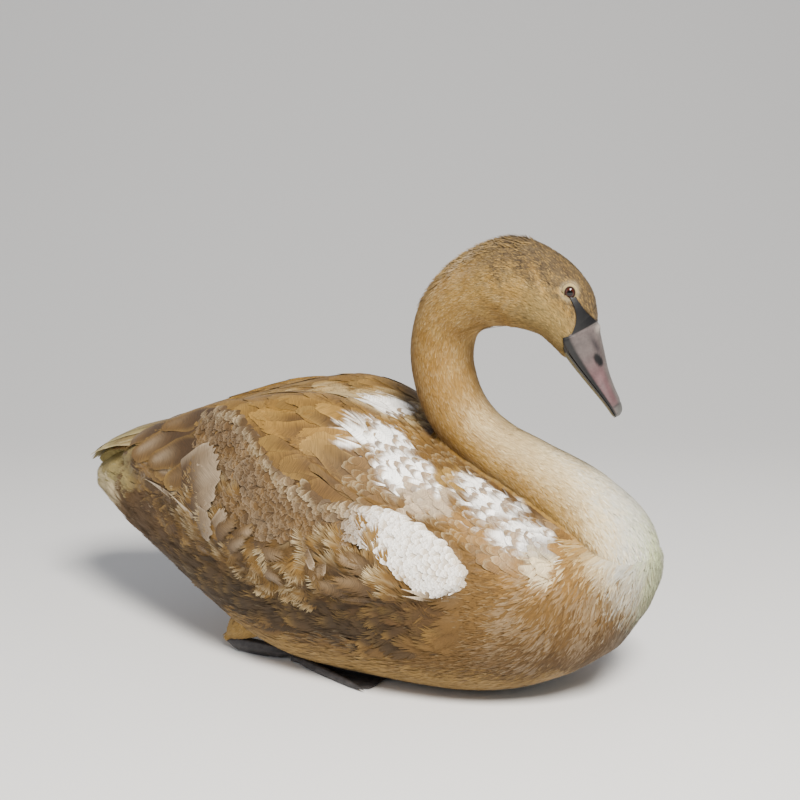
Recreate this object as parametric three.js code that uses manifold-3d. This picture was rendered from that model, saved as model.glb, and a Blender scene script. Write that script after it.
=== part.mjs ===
// A first-winter mute swan, life size, resting on its belly with its feet tucked under.
// Millimetres, +X towards the breast, +Y to the bird's left, +Z up, the floor at z = 0.
import * as THREE from "three";
import { mergeVertices } from "three/addons/utils/BufferGeometryUtils.js";
import Module from "manifold-3d";

const wasm = await Module();
wasm.setup();

// ---- Driving sizes ----------------------------------------------------------------------------
const GAP = 0.3; // clearance between two touching pieces
const LOOSE = 0.8; // clearance where thin pieces lie against each other
const LEFT = 1;
const RIGHT = -1;

// The trunk from the tips of the undertail coverts to the breast, as cross-sections along X.
const TRUNK = {
  x: [-348, -335, -311, -269, -209, -150, -100, -50, 0, 50, 100, 150, 200, 250, 290, 312, 322, 326],
  belly: [160, 149, 131, 106, 76, 38, 12, -2, -5, -5, -5, -3, 7, 29, 58, 92, 118, 144],
  back: [160, 177, 195, 216, 243, 262, 271, 275, 273, 262, 242, 219, 202, 187, 173, 165, 158, 144],
  halfWidth: [0, 17, 32, 54, 78, 99, 115, 126, 133, 138, 139, 134, 121, 99, 72, 48, 30, 0],
  widestAt: [160, 158, 155, 148, 140, 131, 124, 119, 116, 115, 114, 113, 112, 113, 119, 130, 138, 144],
};
const SECTION_POWER = 2.3; // 2 is an ellipse, more is squarer
const SCAPULARS = { rise: 34, angle: 60, spread: 25, centreX: -32, reach: 118 }; // humps beside the back

// One folded wing, drawn on the trunk's own surface: how far up its side, in degrees, the two
// edges lie at each station along X.
const WING = {
  x: [-288, -275, -249, -205, -165, -123, -80, -40, 0, 60, 110, 148, 169, 177],
  lowerEdge: [44, 36, 27, 17, 9, 4, 1, 0, 0, 0, 1, 5, 12, 20],
  upperEdge: [58, 66, 72, 72, 70, 66, 58, 48, 42, 37, 37, 37, 32, 23],
  thickness: 21, // from inside the trunk's surface to the outside of the coverts
  sunk: 6, // how far the inner side starts below the trunk's surface
};

// The spine of neck and head: centres from the breast to the bill's base, with half sizes.
// deep is measured in the profile, wide across it, yaw turns the profile to the bird's left and
// tilt leans the section back at the crown.
const SPINE = [
  { at: [238, 0, 104], deep: 44, wide: 52, yaw: 0, tilt: 0 },
  { at: [267, 0, 146], deep: 57, wide: 58, yaw: 0, tilt: 0 },
  { at: [240, 0, 190], deep: 45, wide: 46, yaw: 0, tilt: 0 },
  { at: [190, 0, 224], deep: 33, wide: 36, yaw: 0, tilt: 0 },
  { at: [152, 0, 243], deep: 30, wide: 32, yaw: 0, tilt: 0 },
  { at: [122, 0, 264], deep: 31.5, wide: 31, yaw: 0, tilt: 0 },
  { at: [103, -2, 293], deep: 32, wide: 31, yaw: 0, tilt: 0 },
  { at: [95, -7, 331], deep: 32, wide: 31, yaw: 0, tilt: 0 },
  { at: [102, -15, 366], deep: 32.5, wide: 31, yaw: 0, tilt: 0 },
  { at: [120, -25, 391], deep: 34, wide: 31, yaw: 2, tilt: 0 },
  { at: [149, -37, 410], deep: 38, wide: 30.5, yaw: 5, tilt: 0 },
  { at: [185, -48, 420], deep: 43, wide: 30, yaw: 9, tilt: 0 },
  { at: [214, -52, 414], deep: 40, wide: 28.5, yaw: 12, tilt: 0 },
  { at: [236, -52, 400], deep: 34.5, wide: 26, yaw: 14, tilt: 2 },
  { at: [249, -49, 381], deep: 27, wide: 22, yaw: 14, tilt: 10 },
  { at: [255, -46.5, 369], deep: 23.5, wide: 18.5, yaw: 14, tilt: 24 },
];
const EGG = 0.13; // how much narrower the crown side of a head section is than the throat side
const NECK_PARTS = { base: 1.45, lower: 5.6, upper: 8.6, nape: 10.3 }; // where the spine is parted
const HEAD_END = 15;

// The head's own frame: the point midway between the eyes, turned left by yaw and bowed by pitch.
const HEAD = { at: [246.4, -49.7, 417.2], yaw: 14, pitch: 62.5 };
const EYE = { radius: 7, aside: 16.2, above: -1.5 };

// The bill in the head's frame: ahead of the eyes and above them, to the tip of the nail.
const BILL = {
  ahead: [28, 40, 52, 66, 84, 100, 114, 123, 127],
  culmen: [8, 6.5, 4, 0.6, -3.8, -5.8, -6.6, -8.5, -13],
  gape: [-27, -27.5, -27.5, -25.5, -22, -18.5, -16, -16, -16.5],
  chin: [-31, -32.5, -34, -31.5, -27.5, -23.5, -20.5, -19.3, -18.8],
  halfWidth: [8, 12, 15, 15.4, 15, 15.6, 15, 10.5, 2],
};

const TAIL = {
  x: [-346, -341, -330, -312, -285, -250, -215],
  halfWidth: [5, 14, 27, 41, 49, 45, 34],
  top: [178, 183, 195, 210, 224, 236, 244],
  halfThick: [2, 3, 4.5, 6, 9, 11, 11],
  arch: 8, // how far the outer feathers hang below the middle ones
};

// A tucked leg: the tarsus lies forward along the floor from the heel to the webbed toes.
const LEG = { heelX: -142, toesX: -50, y: 57, tarsusRadius: 7.5, heelRadius: 9.5 };
const THIGH = { from: [-62, 54, 78], to: [-137, 55, 15], thick: 36, thin: 14 }; // feathered
const TOES = { angles: [-22, 2, 24], lengths: [112, 132, 118], radius: 5 };
const WEB = {
  ahead: [-8, 20, 50, 80, 100, 106],
  halfWidth: [4, 10, 21, 33, 41, 30],
  halfThick: 1.7,
  middle: 1.5,
};

// ---- Small geometry helpers -------------------------------------------------------------------
const radians = THREE.MathUtils.degToRad;
const vector = (a) => new THREE.Vector3(...a);

// A smooth curve through evenly numbered values: t = 0 is the first value, t = 1 the second.
function through(values, t) {
  const last = values.length - 1;
  const i = Math.min(Math.max(Math.floor(t), 0), last - 1);
  const f = t - i;
  const at = (k) => values[Math.min(Math.max(k, 0), last)];
  const [a, b, c, d] = [at(i - 1), at(i), at(i + 1), at(i + 2)];
  return b + 0.5 * f * (c - a + f * (2 * a - 5 * b + 4 * c - d + f * (3 * (b - c) + d - a)));
}

// Where x lies among rising stations, as a fraction of their numbering.
function stationOf(stations, x) {
  let i = 0;
  while (i < stations.length - 2 && x > stations[i + 1]) i += 1;
  return i + (x - stations[i]) / (stations[i + 1] - stations[i]);
}

// A closed body whose rings are carried along a path: shape(t, angle) gives a point for t from
// 0 to 1 along it and an angle round it. Each end closes in a single point.
function form(along, around, shape) {
  const geometry = new THREE.SphereGeometry(1, around, along);
  const position = geometry.getAttribute("position");
  const uv = geometry.getAttribute("uv");
  for (let i = 0; i < position.count; i += 1) {
    const ring = Math.round((1 - uv.getY(i)) * along);
    const onPole = ring === 0 || ring === along;
    const step = Math.round(uv.getX(i) * around) % around;
    const p = shape(ring / along, onPole ? 0 : (2 * Math.PI * step) / around, ring);
    position.setXYZ(i, p.x, p.y, p.z);
  }
  return geometry;
}

// The geometry with its shared vertices merged, and its faces turned outwards.
function welded(geometry) {
  const bare = geometry.clone();
  for (const name of ["normal", "uv"]) bare.deleteAttribute(name);
  const merged = mergeVertices(bare, 1e-3);
  const p = merged.getAttribute("position");
  const index = merged.index.array;
  const kept = [];
  let volume = 0;
  for (let i = 0; i < index.length; i += 3) {
    const [a, b, c] = [index[i], index[i + 1], index[i + 2]];
    if (a === b || b === c || a === c) continue;
    kept.push(a, b, c);
    const [u, v, w] = [a, b, c].map((k) => new THREE.Vector3().fromBufferAttribute(p, k));
    volume += u.dot(v.cross(w));
  }
  if (volume < 0) {
    for (let i = 0; i < kept.length; i += 3) [kept[i + 1], kept[i + 2]] = [kept[i + 2], kept[i + 1]];
  }
  merged.setIndex(kept);
  return merged;
}

// A solid from a closed geometry, grown outwards by a clearance if one is given.
function solid(geometry, clearance = 0) {
  const merged = welded(geometry);
  if (clearance) {
    merged.computeVertexNormals();
    const p = merged.getAttribute("position");
    const n = merged.getAttribute("normal");
    for (let i = 0; i < p.count; i += 1) {
      const out = new THREE.Vector3().fromBufferAttribute(n, i).multiplyScalar(clearance);
      p.setXYZ(i, p.getX(i) + out.x, p.getY(i) + out.y, p.getZ(i) + out.z);
    }
  }
  return new wasm.Manifold(
    new wasm.Mesh({
      numProp: 3,
      vertProperties: merged.getAttribute("position").array,
      triVerts: new Uint32Array(merged.index.array),
    }),
  );
}

function geometryOf(manifold) {
  const mesh = manifold.getMesh();
  const points = new Float32Array(mesh.numVert * 3);
  for (let i = 0; i < mesh.numVert; i += 1) {
    const from = i * mesh.numProp;
    points.set(mesh.vertProperties.subarray(from, from + 3), i * 3);
  }
  return new THREE.BufferGeometry()
    .setAttribute("position", new THREE.BufferAttribute(points, 3))
    .setIndex(new THREE.BufferAttribute(mesh.triVerts, 1));
}

// Of a cut solid's separate bits, the largest.
const largest = (manifold) =>
  manifold.decompose().reduce((best, bit) => (bit.volume() > best.volume() ? bit : best));

// ---- The trunk --------------------------------------------------------------------------------
function trunkSection(x) {
  const t = stationOf(TRUNK.x, x);
  return {
    belly: through(TRUNK.belly, t),
    back: through(TRUNK.back, t),
    halfWidth: Math.max(through(TRUNK.halfWidth, t), 0),
    widestAt: through(TRUNK.widestAt, t),
  };
}

const power = (value) => Math.sign(value) * Math.abs(value) ** (2 / SECTION_POWER);

// A point of the trunk's surface, raised by lift. Angle 0 is the left side and 90 degrees the back.
function onTrunk(x, angle, lift = 0) {
  const s = trunkSection(x);
  const rise = Math.sin(angle) > 0 ? s.back - s.widestAt : s.widestAt - s.belly;
  const y = s.halfWidth * power(Math.cos(angle));
  const z = rise * power(Math.sin(angle));
  const fromSide = THREE.MathUtils.radToDeg(Math.atan2(Math.sin(angle), Math.abs(Math.cos(angle))));
  const across = (fromSide - SCAPULARS.angle) / SCAPULARS.spread;
  const along = (x - SCAPULARS.centreX) / SCAPULARS.reach;
  const hump = SCAPULARS.rise * Math.exp(-across * across - along * along);
  const reach = Math.hypot(y, z) || 1;
  const k = 1 + (hump + lift) / reach;
  return new THREE.Vector3(x, y * k, Math.max(s.widestAt + z * k, 0));
}

function trunkForm(along = 30, around = 30) {
  const [first, last] = [TRUNK.x[0], TRUNK.x[TRUNK.x.length - 1]];
  return form(along, around, (t, angle) => {
    const eased = 0.5 - 0.5 * Math.cos(Math.PI * t); // rings lie closer at both ends
    const x = THREE.MathUtils.lerp(first, last, 0.35 * t + 0.65 * eased);
    if (t === 0 || t === 1) return new THREE.Vector3(x, 0, trunkSection(x).widestAt);
    return onTrunk(x, angle);
  });
}

// ---- The neck and head, along the spine -------------------------------------------------------
function spineFrame(t) {
  const at = [0, 1, 2].map((k) => through(SPINE.map((s) => s.at[k]), t));
  const step = 0.02;
  const before = [0, 1, 2].map((k) => through(SPINE.map((s) => s.at[k]), t - step));
  const after = [0, 1, 2].map((k) => through(SPINE.map((s) => s.at[k]), t + step));
  const ahead = vector(after).sub(vector(before)).normalize();
  const yaw = radians(through(SPINE.map((s) => s.yaw), t));
  const side = new THREE.Vector3(Math.sin(yaw), -Math.cos(yaw), 0);
  side.addScaledVector(ahead, -side.dot(ahead)).normalize();
  const crown = side.clone().cross(ahead);
  crown.applyAxisAngle(side, radians(through(SPINE.map((s) => s.tilt), t)));
  return { at: vector(at), ahead, side, crown };
}

function spinePoint(t, angle, scale = 1) {
  const frame = spineFrame(t);
  const deep = through(SPINE.map((s) => s.deep), t) * scale;
  const egg = t > NECK_PARTS.upper ? EGG * Math.min((t - NECK_PARTS.upper) / 3, 1) : 0;
  const wide = through(SPINE.map((s) => s.wide), t) * scale * (1 - egg * Math.sin(angle));
  return frame.at
    .addScaledVector(frame.side, wide * Math.cos(angle))
    .addScaledVector(frame.crown, deep * Math.sin(angle));
}

// A length of the spine from t0 to t1, with flat ends, less half a gap at each parted end.
function spineForm(t0, t1, rings, around = 20) {
  return form(rings + 2, around, (_, angle, ring) => {
    const t = THREE.MathUtils.lerp(t0, t1, THREE.MathUtils.clamp((ring - 1) / rings, 0, 1));
    const closed = ring === 0 || ring === rings + 2;
    const capped = ring === 0 ? 1 : ring === rings + 2 ? rings + 1 : ring;
    const p = spinePoint(t, angle, closed ? 0 : 1);
    const end = capped <= 1 ? GAP / 2 : capped >= rings + 1 ? -GAP / 2 : 0;
    return p.addScaledVector(spineFrame(t).ahead, end);
  });
}

// ---- The head's frame, and what it carries ----------------------------------------------------
const headMatrix = (() => {
  const yaw = radians(HEAD.yaw);
  const pitch = radians(HEAD.pitch);
  const level = new THREE.Vector3(Math.cos(yaw), Math.sin(yaw), 0);
  const up = new THREE.Vector3(0, 0, 1);
  const ahead = level.clone().multiplyScalar(Math.cos(pitch)).addScaledVector(up, -Math.sin(pitch));
  const above = level.clone().multiplyScalar(Math.sin(pitch)).addScaledVector(up, Math.cos(pitch));
  const left = above.clone().cross(ahead);
  return new THREE.Matrix4().makeBasis(ahead, left, above).setPosition(...HEAD.at);
})();

const inHead = (ahead, left, above) => new THREE.Vector3(ahead, left, above).applyMatrix4(headMatrix);

function eyeForm(side) {
  const ball = new THREE.SphereGeometry(EYE.radius, 12, 8);
  const at = inHead(0, side * EYE.aside, EYE.above);
  return ball.translate(at.x, at.y, at.z);
}

// Half of the bill between a lower and an upper outline; the gape line is nearly flat.
function billForm(lower, upper, roundTop) {
  const rings = 10;
  const last = BILL.ahead.length - 1;
  return form(rings + 1, 16, (_, angle, ring) => {
    const t = (last * Math.max(ring - 1, 0)) / rings;
    const [low, high] = [through(lower, t), through(upper, t)];
    const wide = ring === 0 || ring === rings + 1 ? 0 : through(BILL.halfWidth, t);
    const s = Math.sin(angle);
    const share = roundTop ? (s > 0 ? s : 0.12 * s) : s < 0 ? s : 0.12 * s;
    const height = roundTop
      ? low + (high - low) * Math.max(share, share * 0.5 + 0.03)
      : high + (high - low) * Math.min(share, share * 0.5 - 0.03);
    const across = wide * Math.sign(Math.cos(angle)) * Math.abs(Math.cos(angle)) ** 0.8;
    const flat = ring === 0 || ring === rings + 1;
    return inHead(through(BILL.ahead, t), across, flat ? (low + high) / 2 : height);
  });
}

// ---- Wings, tail and legs ---------------------------------------------------------------------
function wingForm(side) {
  const [first, last] = [WING.x[0], WING.x[WING.x.length - 1]];
  return form(22, 14, (t, angle) => {
    const eased = 0.5 - 0.5 * Math.cos(Math.PI * t);
    const x = THREE.MathUtils.lerp(first, last, 0.3 * t + 0.7 * eased);
    const station = stationOf(WING.x, x);
    const low = radians(through(WING.lowerEdge, station));
    const high = radians(through(WING.upperEdge, station));
    const end = t === 0 || t === 1;
    const across = end ? 0.5 : 0.5 - 0.5 * Math.cos(angle);
    const round = end ? 0 : Math.sign(Math.sin(angle)) * Math.abs(Math.sin(angle)) ** 0.55;
    const taper = Math.min(1, 0.45 + 4 * t, 0.5 + 6 * (1 - t));
    const lift = (WING.thickness / 2) * taper * (1 + round) - WING.sunk;
    const p = onTrunk(x, THREE.MathUtils.lerp(low, high, across), lift);
    return new THREE.Vector3(p.x, side * p.y, p.z);
  });
}

function tailForm() {
  const rings = 9;
  const [first, last] = [TAIL.x[0], TAIL.x[TAIL.x.length - 1]];
  return form(rings + 2, 14, (_, angle, ring) => {
    const share = THREE.MathUtils.clamp((ring - 1) / rings, 0, 1);
    const x = THREE.MathUtils.lerp(first, last, share * share * 0.4 + share * 0.6);
    const station = stationOf(TAIL.x, x);
    const open = ring === 0 || ring === rings + 2 ? 0 : 1;
    const across = open * Math.cos(angle);
    const y = through(TAIL.halfWidth, station) * across;
    const hang = TAIL.arch * across * across * Math.min(1, 3 * share);
    const thick = through(TAIL.halfThick, station);
    const z = through(TAIL.top, station) - hang + thick * (open * Math.sin(angle) - 1);
    return new THREE.Vector3(x, y, z);
  });
}

// A round bar between two points whose radius changes evenly, grown all round by a clearance.
function bar(from, to, r0, r1, grow = 0, around = 6) {
  const ahead = vector(to).sub(vector(from)).normalize();
  const side = new THREE.Vector3(-ahead.y, ahead.x, 0).normalize();
  const up = ahead.clone().cross(side);
  const start = vector(from).addScaledVector(ahead, -2 * grow);
  const end = vector(to).addScaledVector(ahead, 2 * grow);
  return form(5, around, (t, angle) => {
    const r = (THREE.MathUtils.lerp(r0, r1, t) + grow) * Math.sin(Math.PI * t) ** 0.35;
    const centre = start.clone().lerp(end, t);
    return centre.addScaledVector(side, r * Math.cos(angle)).addScaledVector(up, r * Math.sin(angle));
  });
}

function thigh(side) {
  const mirrored = ([x, y, z]) => [x, side * y, z];
  return solid(bar(mirrored(THIGH.from), mirrored(THIGH.to), THIGH.thick, THIGH.thin, 0, 12));
}

function tarsus(side, grow = 0) {
  const y = side * LEG.y;
  const heel = [LEG.heelX, y, LEG.heelRadius - 0.5];
  const toes = [LEG.toesX - 5, y, LEG.tarsusRadius - 0.5];
  return solid(bar(heel, toes, LEG.heelRadius, LEG.tarsusRadius, grow)).trimByPlane([0, 0, 1], 0);
}

// The web between the toes: a thin paddle that widens from the ankle to just behind the claws.
function webForm(side, grow) {
  const rings = 8;
  return form(rings + 2, 12, (_, angle, ring) => {
    const share = THREE.MathUtils.clamp((ring - 1) / rings, 0, 1);
    const station = share * (WEB.ahead.length - 1);
    const open = ring === 0 || ring === rings + 2 ? 0 : 1;
    const x = LEG.toesX + through(WEB.ahead, station) + grow * (2 * share - 1);
    const y = LEG.y + (through(WEB.halfWidth, station) + grow) * open * Math.cos(angle);
    const z = WEB.middle + (WEB.halfThick + grow) * open * Math.sin(angle);
    return new THREE.Vector3(x, side * y, z);
  });
}

function foot(side, grow = 0) {
  const y = side * LEG.y;
  const from = [LEG.toesX - 9, y, TOES.radius];
  let made = solid(webForm(side, grow));
  TOES.angles.forEach((angle, i) => {
    const turn = radians(angle * side);
    const tip = [
      LEG.toesX + TOES.lengths[i] * Math.cos(turn),
      y + TOES.lengths[i] * Math.sin(turn),
      TOES.radius - 1.5,
    ];
    made = made.add(solid(bar(from, tip, TOES.radius + 1.5, TOES.radius - 1.5, grow)));
  });
  return made.trimByPlane([0, 0, 1], 0);
}

// ---- Assembly: whole forms, parted by thin cuts -----------------------------------------------
const neckPieces = {
  neck_lower: [NECK_PARTS.base, NECK_PARTS.lower, 10],
  neck_middle: [NECK_PARTS.lower, NECK_PARTS.upper, 7],
  neck_upper: [NECK_PARTS.upper, NECK_PARTS.nape, 5],
};
const parts = {};
for (const [name, [t0, t1, rings]] of Object.entries(neckPieces)) {
  parts[name] = solid(spineForm(t0, t1, rings));
}

const bills = {
  bill_upper: (clearance) => solid(billForm(BILL.gape.map((z) => z + 0.2), BILL.culmen, true), clearance),
  bill_lower: (clearance) => solid(billForm(BILL.chin, BILL.gape.map((z) => z - 0.2), false), clearance),
};
parts.bill_upper = bills.bill_upper(0);
parts.bill_lower = bills.bill_lower(0).subtract(bills.bill_upper(GAP));

parts.head = solid(spineForm(NECK_PARTS.nape, HEAD_END, 14))
  .subtract(bills.bill_upper(GAP))
  .subtract(bills.bill_lower(GAP));
for (const [name, side] of [["eye_left", LEFT], ["eye_right", RIGHT]]) {
  parts[name] = solid(eyeForm(side));
  parts.head = parts.head.subtract(solid(eyeForm(side), GAP));
}

const trunkWhole = solid(trunkForm()).add(solid(spineForm(0, NECK_PARTS.base, 4)));
const trunkGrown = solid(trunkForm(), GAP).add(solid(spineForm(0, NECK_PARTS.base, 4), GAP));
const neckGrown = solid(spineForm(NECK_PARTS.base, NECK_PARTS.lower, 10), GAP);
parts.trunk = trunkWhole.subtract(neckGrown);
for (const [word, side] of [["left", LEFT], ["right", RIGHT]]) {
  parts[`wing_${word}`] = solid(wingForm(side)).subtract(trunkGrown).subtract(neckGrown);
  parts[`foot_${word}`] = foot(side);
  parts[`tarsus_${word}`] = tarsus(side).subtract(foot(side, LOOSE));
  parts[`leg_${word}`] = thigh(side).subtract(trunkGrown).subtract(tarsus(side, LOOSE));
  parts.trunk = parts.trunk.subtract(foot(side, LOOSE)).subtract(tarsus(side, LOOSE));
}
parts.tail = solid(tailForm())
  .subtract(trunkGrown)
  .subtract(solid(wingForm(LEFT), LOOSE))
  .subtract(solid(wingForm(RIGHT), LOOSE));

// ---- Materials and the finished group ---------------------------------------------------------
const colours = {
  plumage: { color: 0xb79a6c, roughness: 0.85 },
  neck: { color: 0xc9b184, roughness: 0.85 },
  head: { color: 0x9c8a6c, roughness: 0.85 },
  wing: { color: 0xa98d66, roughness: 0.8 },
  bill: { color: 0x8b7478, roughness: 0.45 },
  eye: { color: 0x1a1110, roughness: 0.08 },
  foot: { color: 0x4a4644, roughness: 0.6 },
};
const finishOf = (name) => {
  if (name.startsWith("wing")) return "wing";
  if (name.startsWith("bill")) return "bill";
  if (name.startsWith("eye")) return "eye";
  if (name.startsWith("neck")) return "neck";
  if (name.startsWith("foot") || name.startsWith("tarsus")) return "foot";
  return name === "head" ? "head" : "plumage";
};

const swan = new THREE.Group();
swan.name = "mute_swan";
for (const [name, manifold] of Object.entries(parts)) {
  const material = new THREE.MeshStandardMaterial({ ...colours[finishOf(name)], metalness: 0 });
  const mesh = new THREE.Mesh(geometryOf(largest(manifold)), material);
  mesh.name = name;
  swan.add(mesh);
}

export default swan;
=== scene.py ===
# %% [markdown]
# # A young mute swan at rest
# A first-winter mute swan sits on its belly with its neck drawn back in an S and its bill lowered.
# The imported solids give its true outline. This lesson lays one skin just inside them, plants the
# feathers on it region by region, and paints each with the buffs, browns and whites of a bird that
# is changing from its first plumage.

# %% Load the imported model
import bpy
import numpy as np
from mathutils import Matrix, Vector


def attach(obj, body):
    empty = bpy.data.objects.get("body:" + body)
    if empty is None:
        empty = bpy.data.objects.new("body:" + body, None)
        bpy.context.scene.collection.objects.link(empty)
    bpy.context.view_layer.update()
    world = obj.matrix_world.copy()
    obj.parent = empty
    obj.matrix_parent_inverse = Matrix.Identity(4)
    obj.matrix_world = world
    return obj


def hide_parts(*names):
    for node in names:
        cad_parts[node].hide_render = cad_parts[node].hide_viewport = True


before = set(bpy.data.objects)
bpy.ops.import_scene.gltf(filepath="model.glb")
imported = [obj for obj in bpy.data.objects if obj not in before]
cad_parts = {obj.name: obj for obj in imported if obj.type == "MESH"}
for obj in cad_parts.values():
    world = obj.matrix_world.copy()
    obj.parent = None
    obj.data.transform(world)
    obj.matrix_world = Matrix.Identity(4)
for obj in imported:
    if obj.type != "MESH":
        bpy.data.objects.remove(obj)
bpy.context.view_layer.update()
MM = 0.001

# %% [markdown]
# ## The body as a surface of two numbers
# A feather has to lie on the bird, so every region needs a surface that can be asked for a point.
# The trunk is a row of cross-sections joined by smooth curves: x says how far forward, and "up"
# says how many degrees round from the widest line of the flank (90 is the middle of the back).
# The folded wing is a raised patch on that surface. Sculpting the same form by hand would give no
# such numbers, and the feathers would have to be placed by eye.

# %% Smooth curves through measured stations
TRUNK_X = [-348, -335, -311, -269, -209, -150, -100, -50, 0, 50, 100, 150, 200, 250, 290, 312, 322, 326]
TRUNK = {
    "belly": [160, 149, 131, 106, 76, 38, 12, -2, -5, -5, -5, -3, 7, 29, 58, 92, 118, 144],
    "back": [160, 177, 195, 216, 243, 262, 271, 275, 273, 262, 242, 219, 202, 187, 173, 165, 158, 144],
    "half": [0, 17, 32, 54, 78, 99, 115, 126, 133, 138, 139, 134, 121, 99, 72, 48, 30, 0],
    "widest": [160, 158, 155, 148, 140, 131, 124, 119, 116, 115, 114, 113, 112, 113, 119, 130, 138, 144],
}
WING_X = [-288, -275, -249, -205, -165, -123, -80, -40, 0, 60, 110, 148, 169, 177]
WING_LOW = [44, 36, 27, 17, 9, 4, 1, 0, 0, 0, 1, 5, 12, 20]
WING_HIGH = [58, 66, 72, 72, 70, 66, 58, 48, 42, 37, 37, 37, 32, 23]
SECTION_POWER = 2.3


def through(values, t):
    """Catmull-Rom curve: a cubic between the two nearest values that leaves each of them in the
    direction from its own two neighbours."""
    v = np.asarray(values, float)
    last = len(v) - 1
    i = np.clip(np.floor(t).astype(int), 0, last - 1)
    f = t - i
    a, b, c, d = (v[np.clip(i + k, 0, last)] for k in (-1, 0, 1, 2))
    if v.ndim > 1:
        f = f[..., None]
    return b + 0.5 * f * (c - a + f * (2 * a - 5 * b + 4 * c - d + f * (3 * (b - c) + d - a)))


def station(stations, x):
    """Where x lies among rising stations, as a fraction of their numbering."""
    return np.interp(x, stations, np.arange(len(stations)))


def smooth(low, high, v):
    """0 below low, 1 above high, and an S-curve between: 3s squared less 2s cubed."""
    s = np.clip((v - low) / (high - low), 0, 1)
    return s * s * (3 - 2 * s)


def power(v):
    """A superellipse's corner: the value to the power 2 / SECTION_POWER, with its sign kept."""
    return np.sign(v) * np.abs(v) ** (2 / SECTION_POWER)


print("the trunk has", len(TRUNK_X), "stations and the wing", len(WING_X))

# %% The trunk with its scapular humps and folded wings
WING_RISE = 10.5  # mm at the rim, and twice that in the middle
WING_SUNK = 6.0  # mm taken off again, so that both ends sink in
WING_FADE = 7  # degrees over which its two edges sink in
WING_BACK, WING_FRONT = (-296, -282), (186, 174)  # where it rises from the trunk, from either end
WING_T = np.linspace(0, 1, 200)
WING_T_X = WING_X[0] + (WING_X[-1] - WING_X[0]) * (0.3 * WING_T + 0.7 * (0.5 - 0.5 * np.cos(np.pi * WING_T)))
HUMP = 34  # mm that the scapulars stand out
HUMP_AT, HUMP_REACH = (-32, 60), (118, 25)  # in mm forward and degrees up


def wing_relief(x, up):
    """Height of the folded wing over the trunk: a half-round between its lower and upper edge,
    less thick at both ends, that fades out within a few degrees of the edges."""
    up = np.where(up > 90, 180 - up, up)
    s = station(WING_X, x)
    low, high = through(WING_LOW, s), through(WING_HIGH, s)
    t = np.interp(x, WING_T_X, WING_T)
    taper = np.minimum(np.minimum(1, 0.45 + 4 * t), 0.5 + 6 * (1 - t))
    a = np.clip((up - low) / (high - low), 0, 1)
    round_ = (2 * np.sqrt(a * (1 - a))) ** 0.7
    edge = smooth(-WING_FADE, 0, up - low) * smooth(-WING_FADE, 0, high - up)
    edge = edge * smooth(*WING_BACK, x) * smooth(*WING_FRONT, x)
    return (WING_RISE * taper * (1 + round_) - WING_SUNK) * edge


def section(x):
    """Belly, back, half width and widest height of the trunk at x."""
    s = station(TRUNK_X, x)
    return [through(TRUNK[k], s) for k in ("belly", "back", "half", "widest")]


def body(x, up, out=0.0):
    """Trunk surface on the left side: a superellipse section at x, pushed outwards by the scapular
    hump, the wing and "out" millimetres, at both ends along x too. It stays above the floor."""
    belly, back, half, widest = section(x)
    a = np.radians(up)
    rise = np.where(np.sin(a) > 0, back - widest, widest - belly)
    y = np.maximum(half, 0) * power(np.cos(a))
    z = rise * power(np.sin(a))
    from_side = np.degrees(np.arctan2(np.sin(a), np.abs(np.cos(a))))
    hump_x, hump_up = (x - HUMP_AT[0]) / HUMP_REACH[0], (from_side - HUMP_AT[1]) / HUMP_REACH[1]
    hump = HUMP * np.exp(-(hump_up ** 2) - hump_x ** 2)
    k = 1 + (hump + wing_relief(x, up) + out) / np.maximum(np.hypot(y, z), 1)
    x = x + out * smooth(290, 326, x) - out * smooth(310, 348, -x)
    return np.stack([x, y * k, np.maximum(widest + z * k, 0.4)], -1)


print("the back stands", body(np.array(-40.0), np.array(60.0))[2].round(), "mm high over the scapulars")

# %% The neck and head as a tube along a spine
SPINE_AT = [
    [238, 0, 104], [267, 0, 146], [240, 0, 190], [190, 0, 224], [152, 0, 243], [122, 0, 264],
    [103, -2, 293], [95, -7, 331], [102, -15, 366], [120, -25, 391], [149, -37, 410],
    [185, -48, 420], [214, -52, 414], [236, -52, 400], [249, -49, 381], [255, -46.5, 369],
]
SPINE_DEEP = [44, 57, 45, 33, 30, 31.5, 32, 32, 32.5, 34, 38, 43, 40, 34.5, 27, 23.5]
SPINE_WIDE = [52, 58, 46, 36, 32, 31, 31, 31, 31, 31, 30.5, 30, 28.5, 26, 22, 18.5]
SPINE_YAW = [0, 0, 0, 0, 0, 0, 0, 0, 0, 2, 5, 9, 12, 14, 14, 14]
SPINE_TILT = [0] * 13 + [2, 10, 24]
SPANS = len(SPINE_AT) - 1
HEAD_T = 8.6  # from here on the sections are egg-shaped
EGG = 0.13  # share by which an egg narrows towards its top


def unit(v):
    """The same directions, each of length one."""
    return v / np.maximum(np.linalg.norm(v, axis=-1, keepdims=True), 1e-9)


def spine_frames(t):
    """Centre, direction, and the two axes of the section: side is level and points to the bird's
    right, crown completes them and leans back over the face."""
    at = through(SPINE_AT, t)
    ahead = unit(through(SPINE_AT, t + 0.02) - through(SPINE_AT, t - 0.02))
    yaw = np.radians(through(SPINE_YAW, t))
    side = np.stack([np.sin(yaw), -np.cos(yaw), 0 * yaw], -1)
    side = unit(side - (side * ahead).sum(-1, keepdims=True) * ahead)
    crown = np.cross(side, ahead)
    tilt = np.radians(through(SPINE_TILT, t))[..., None]
    crown = crown * np.cos(tilt) + np.cross(side, crown) * np.sin(tilt)
    return np.concatenate([at, ahead, side, crown], -1)


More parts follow.
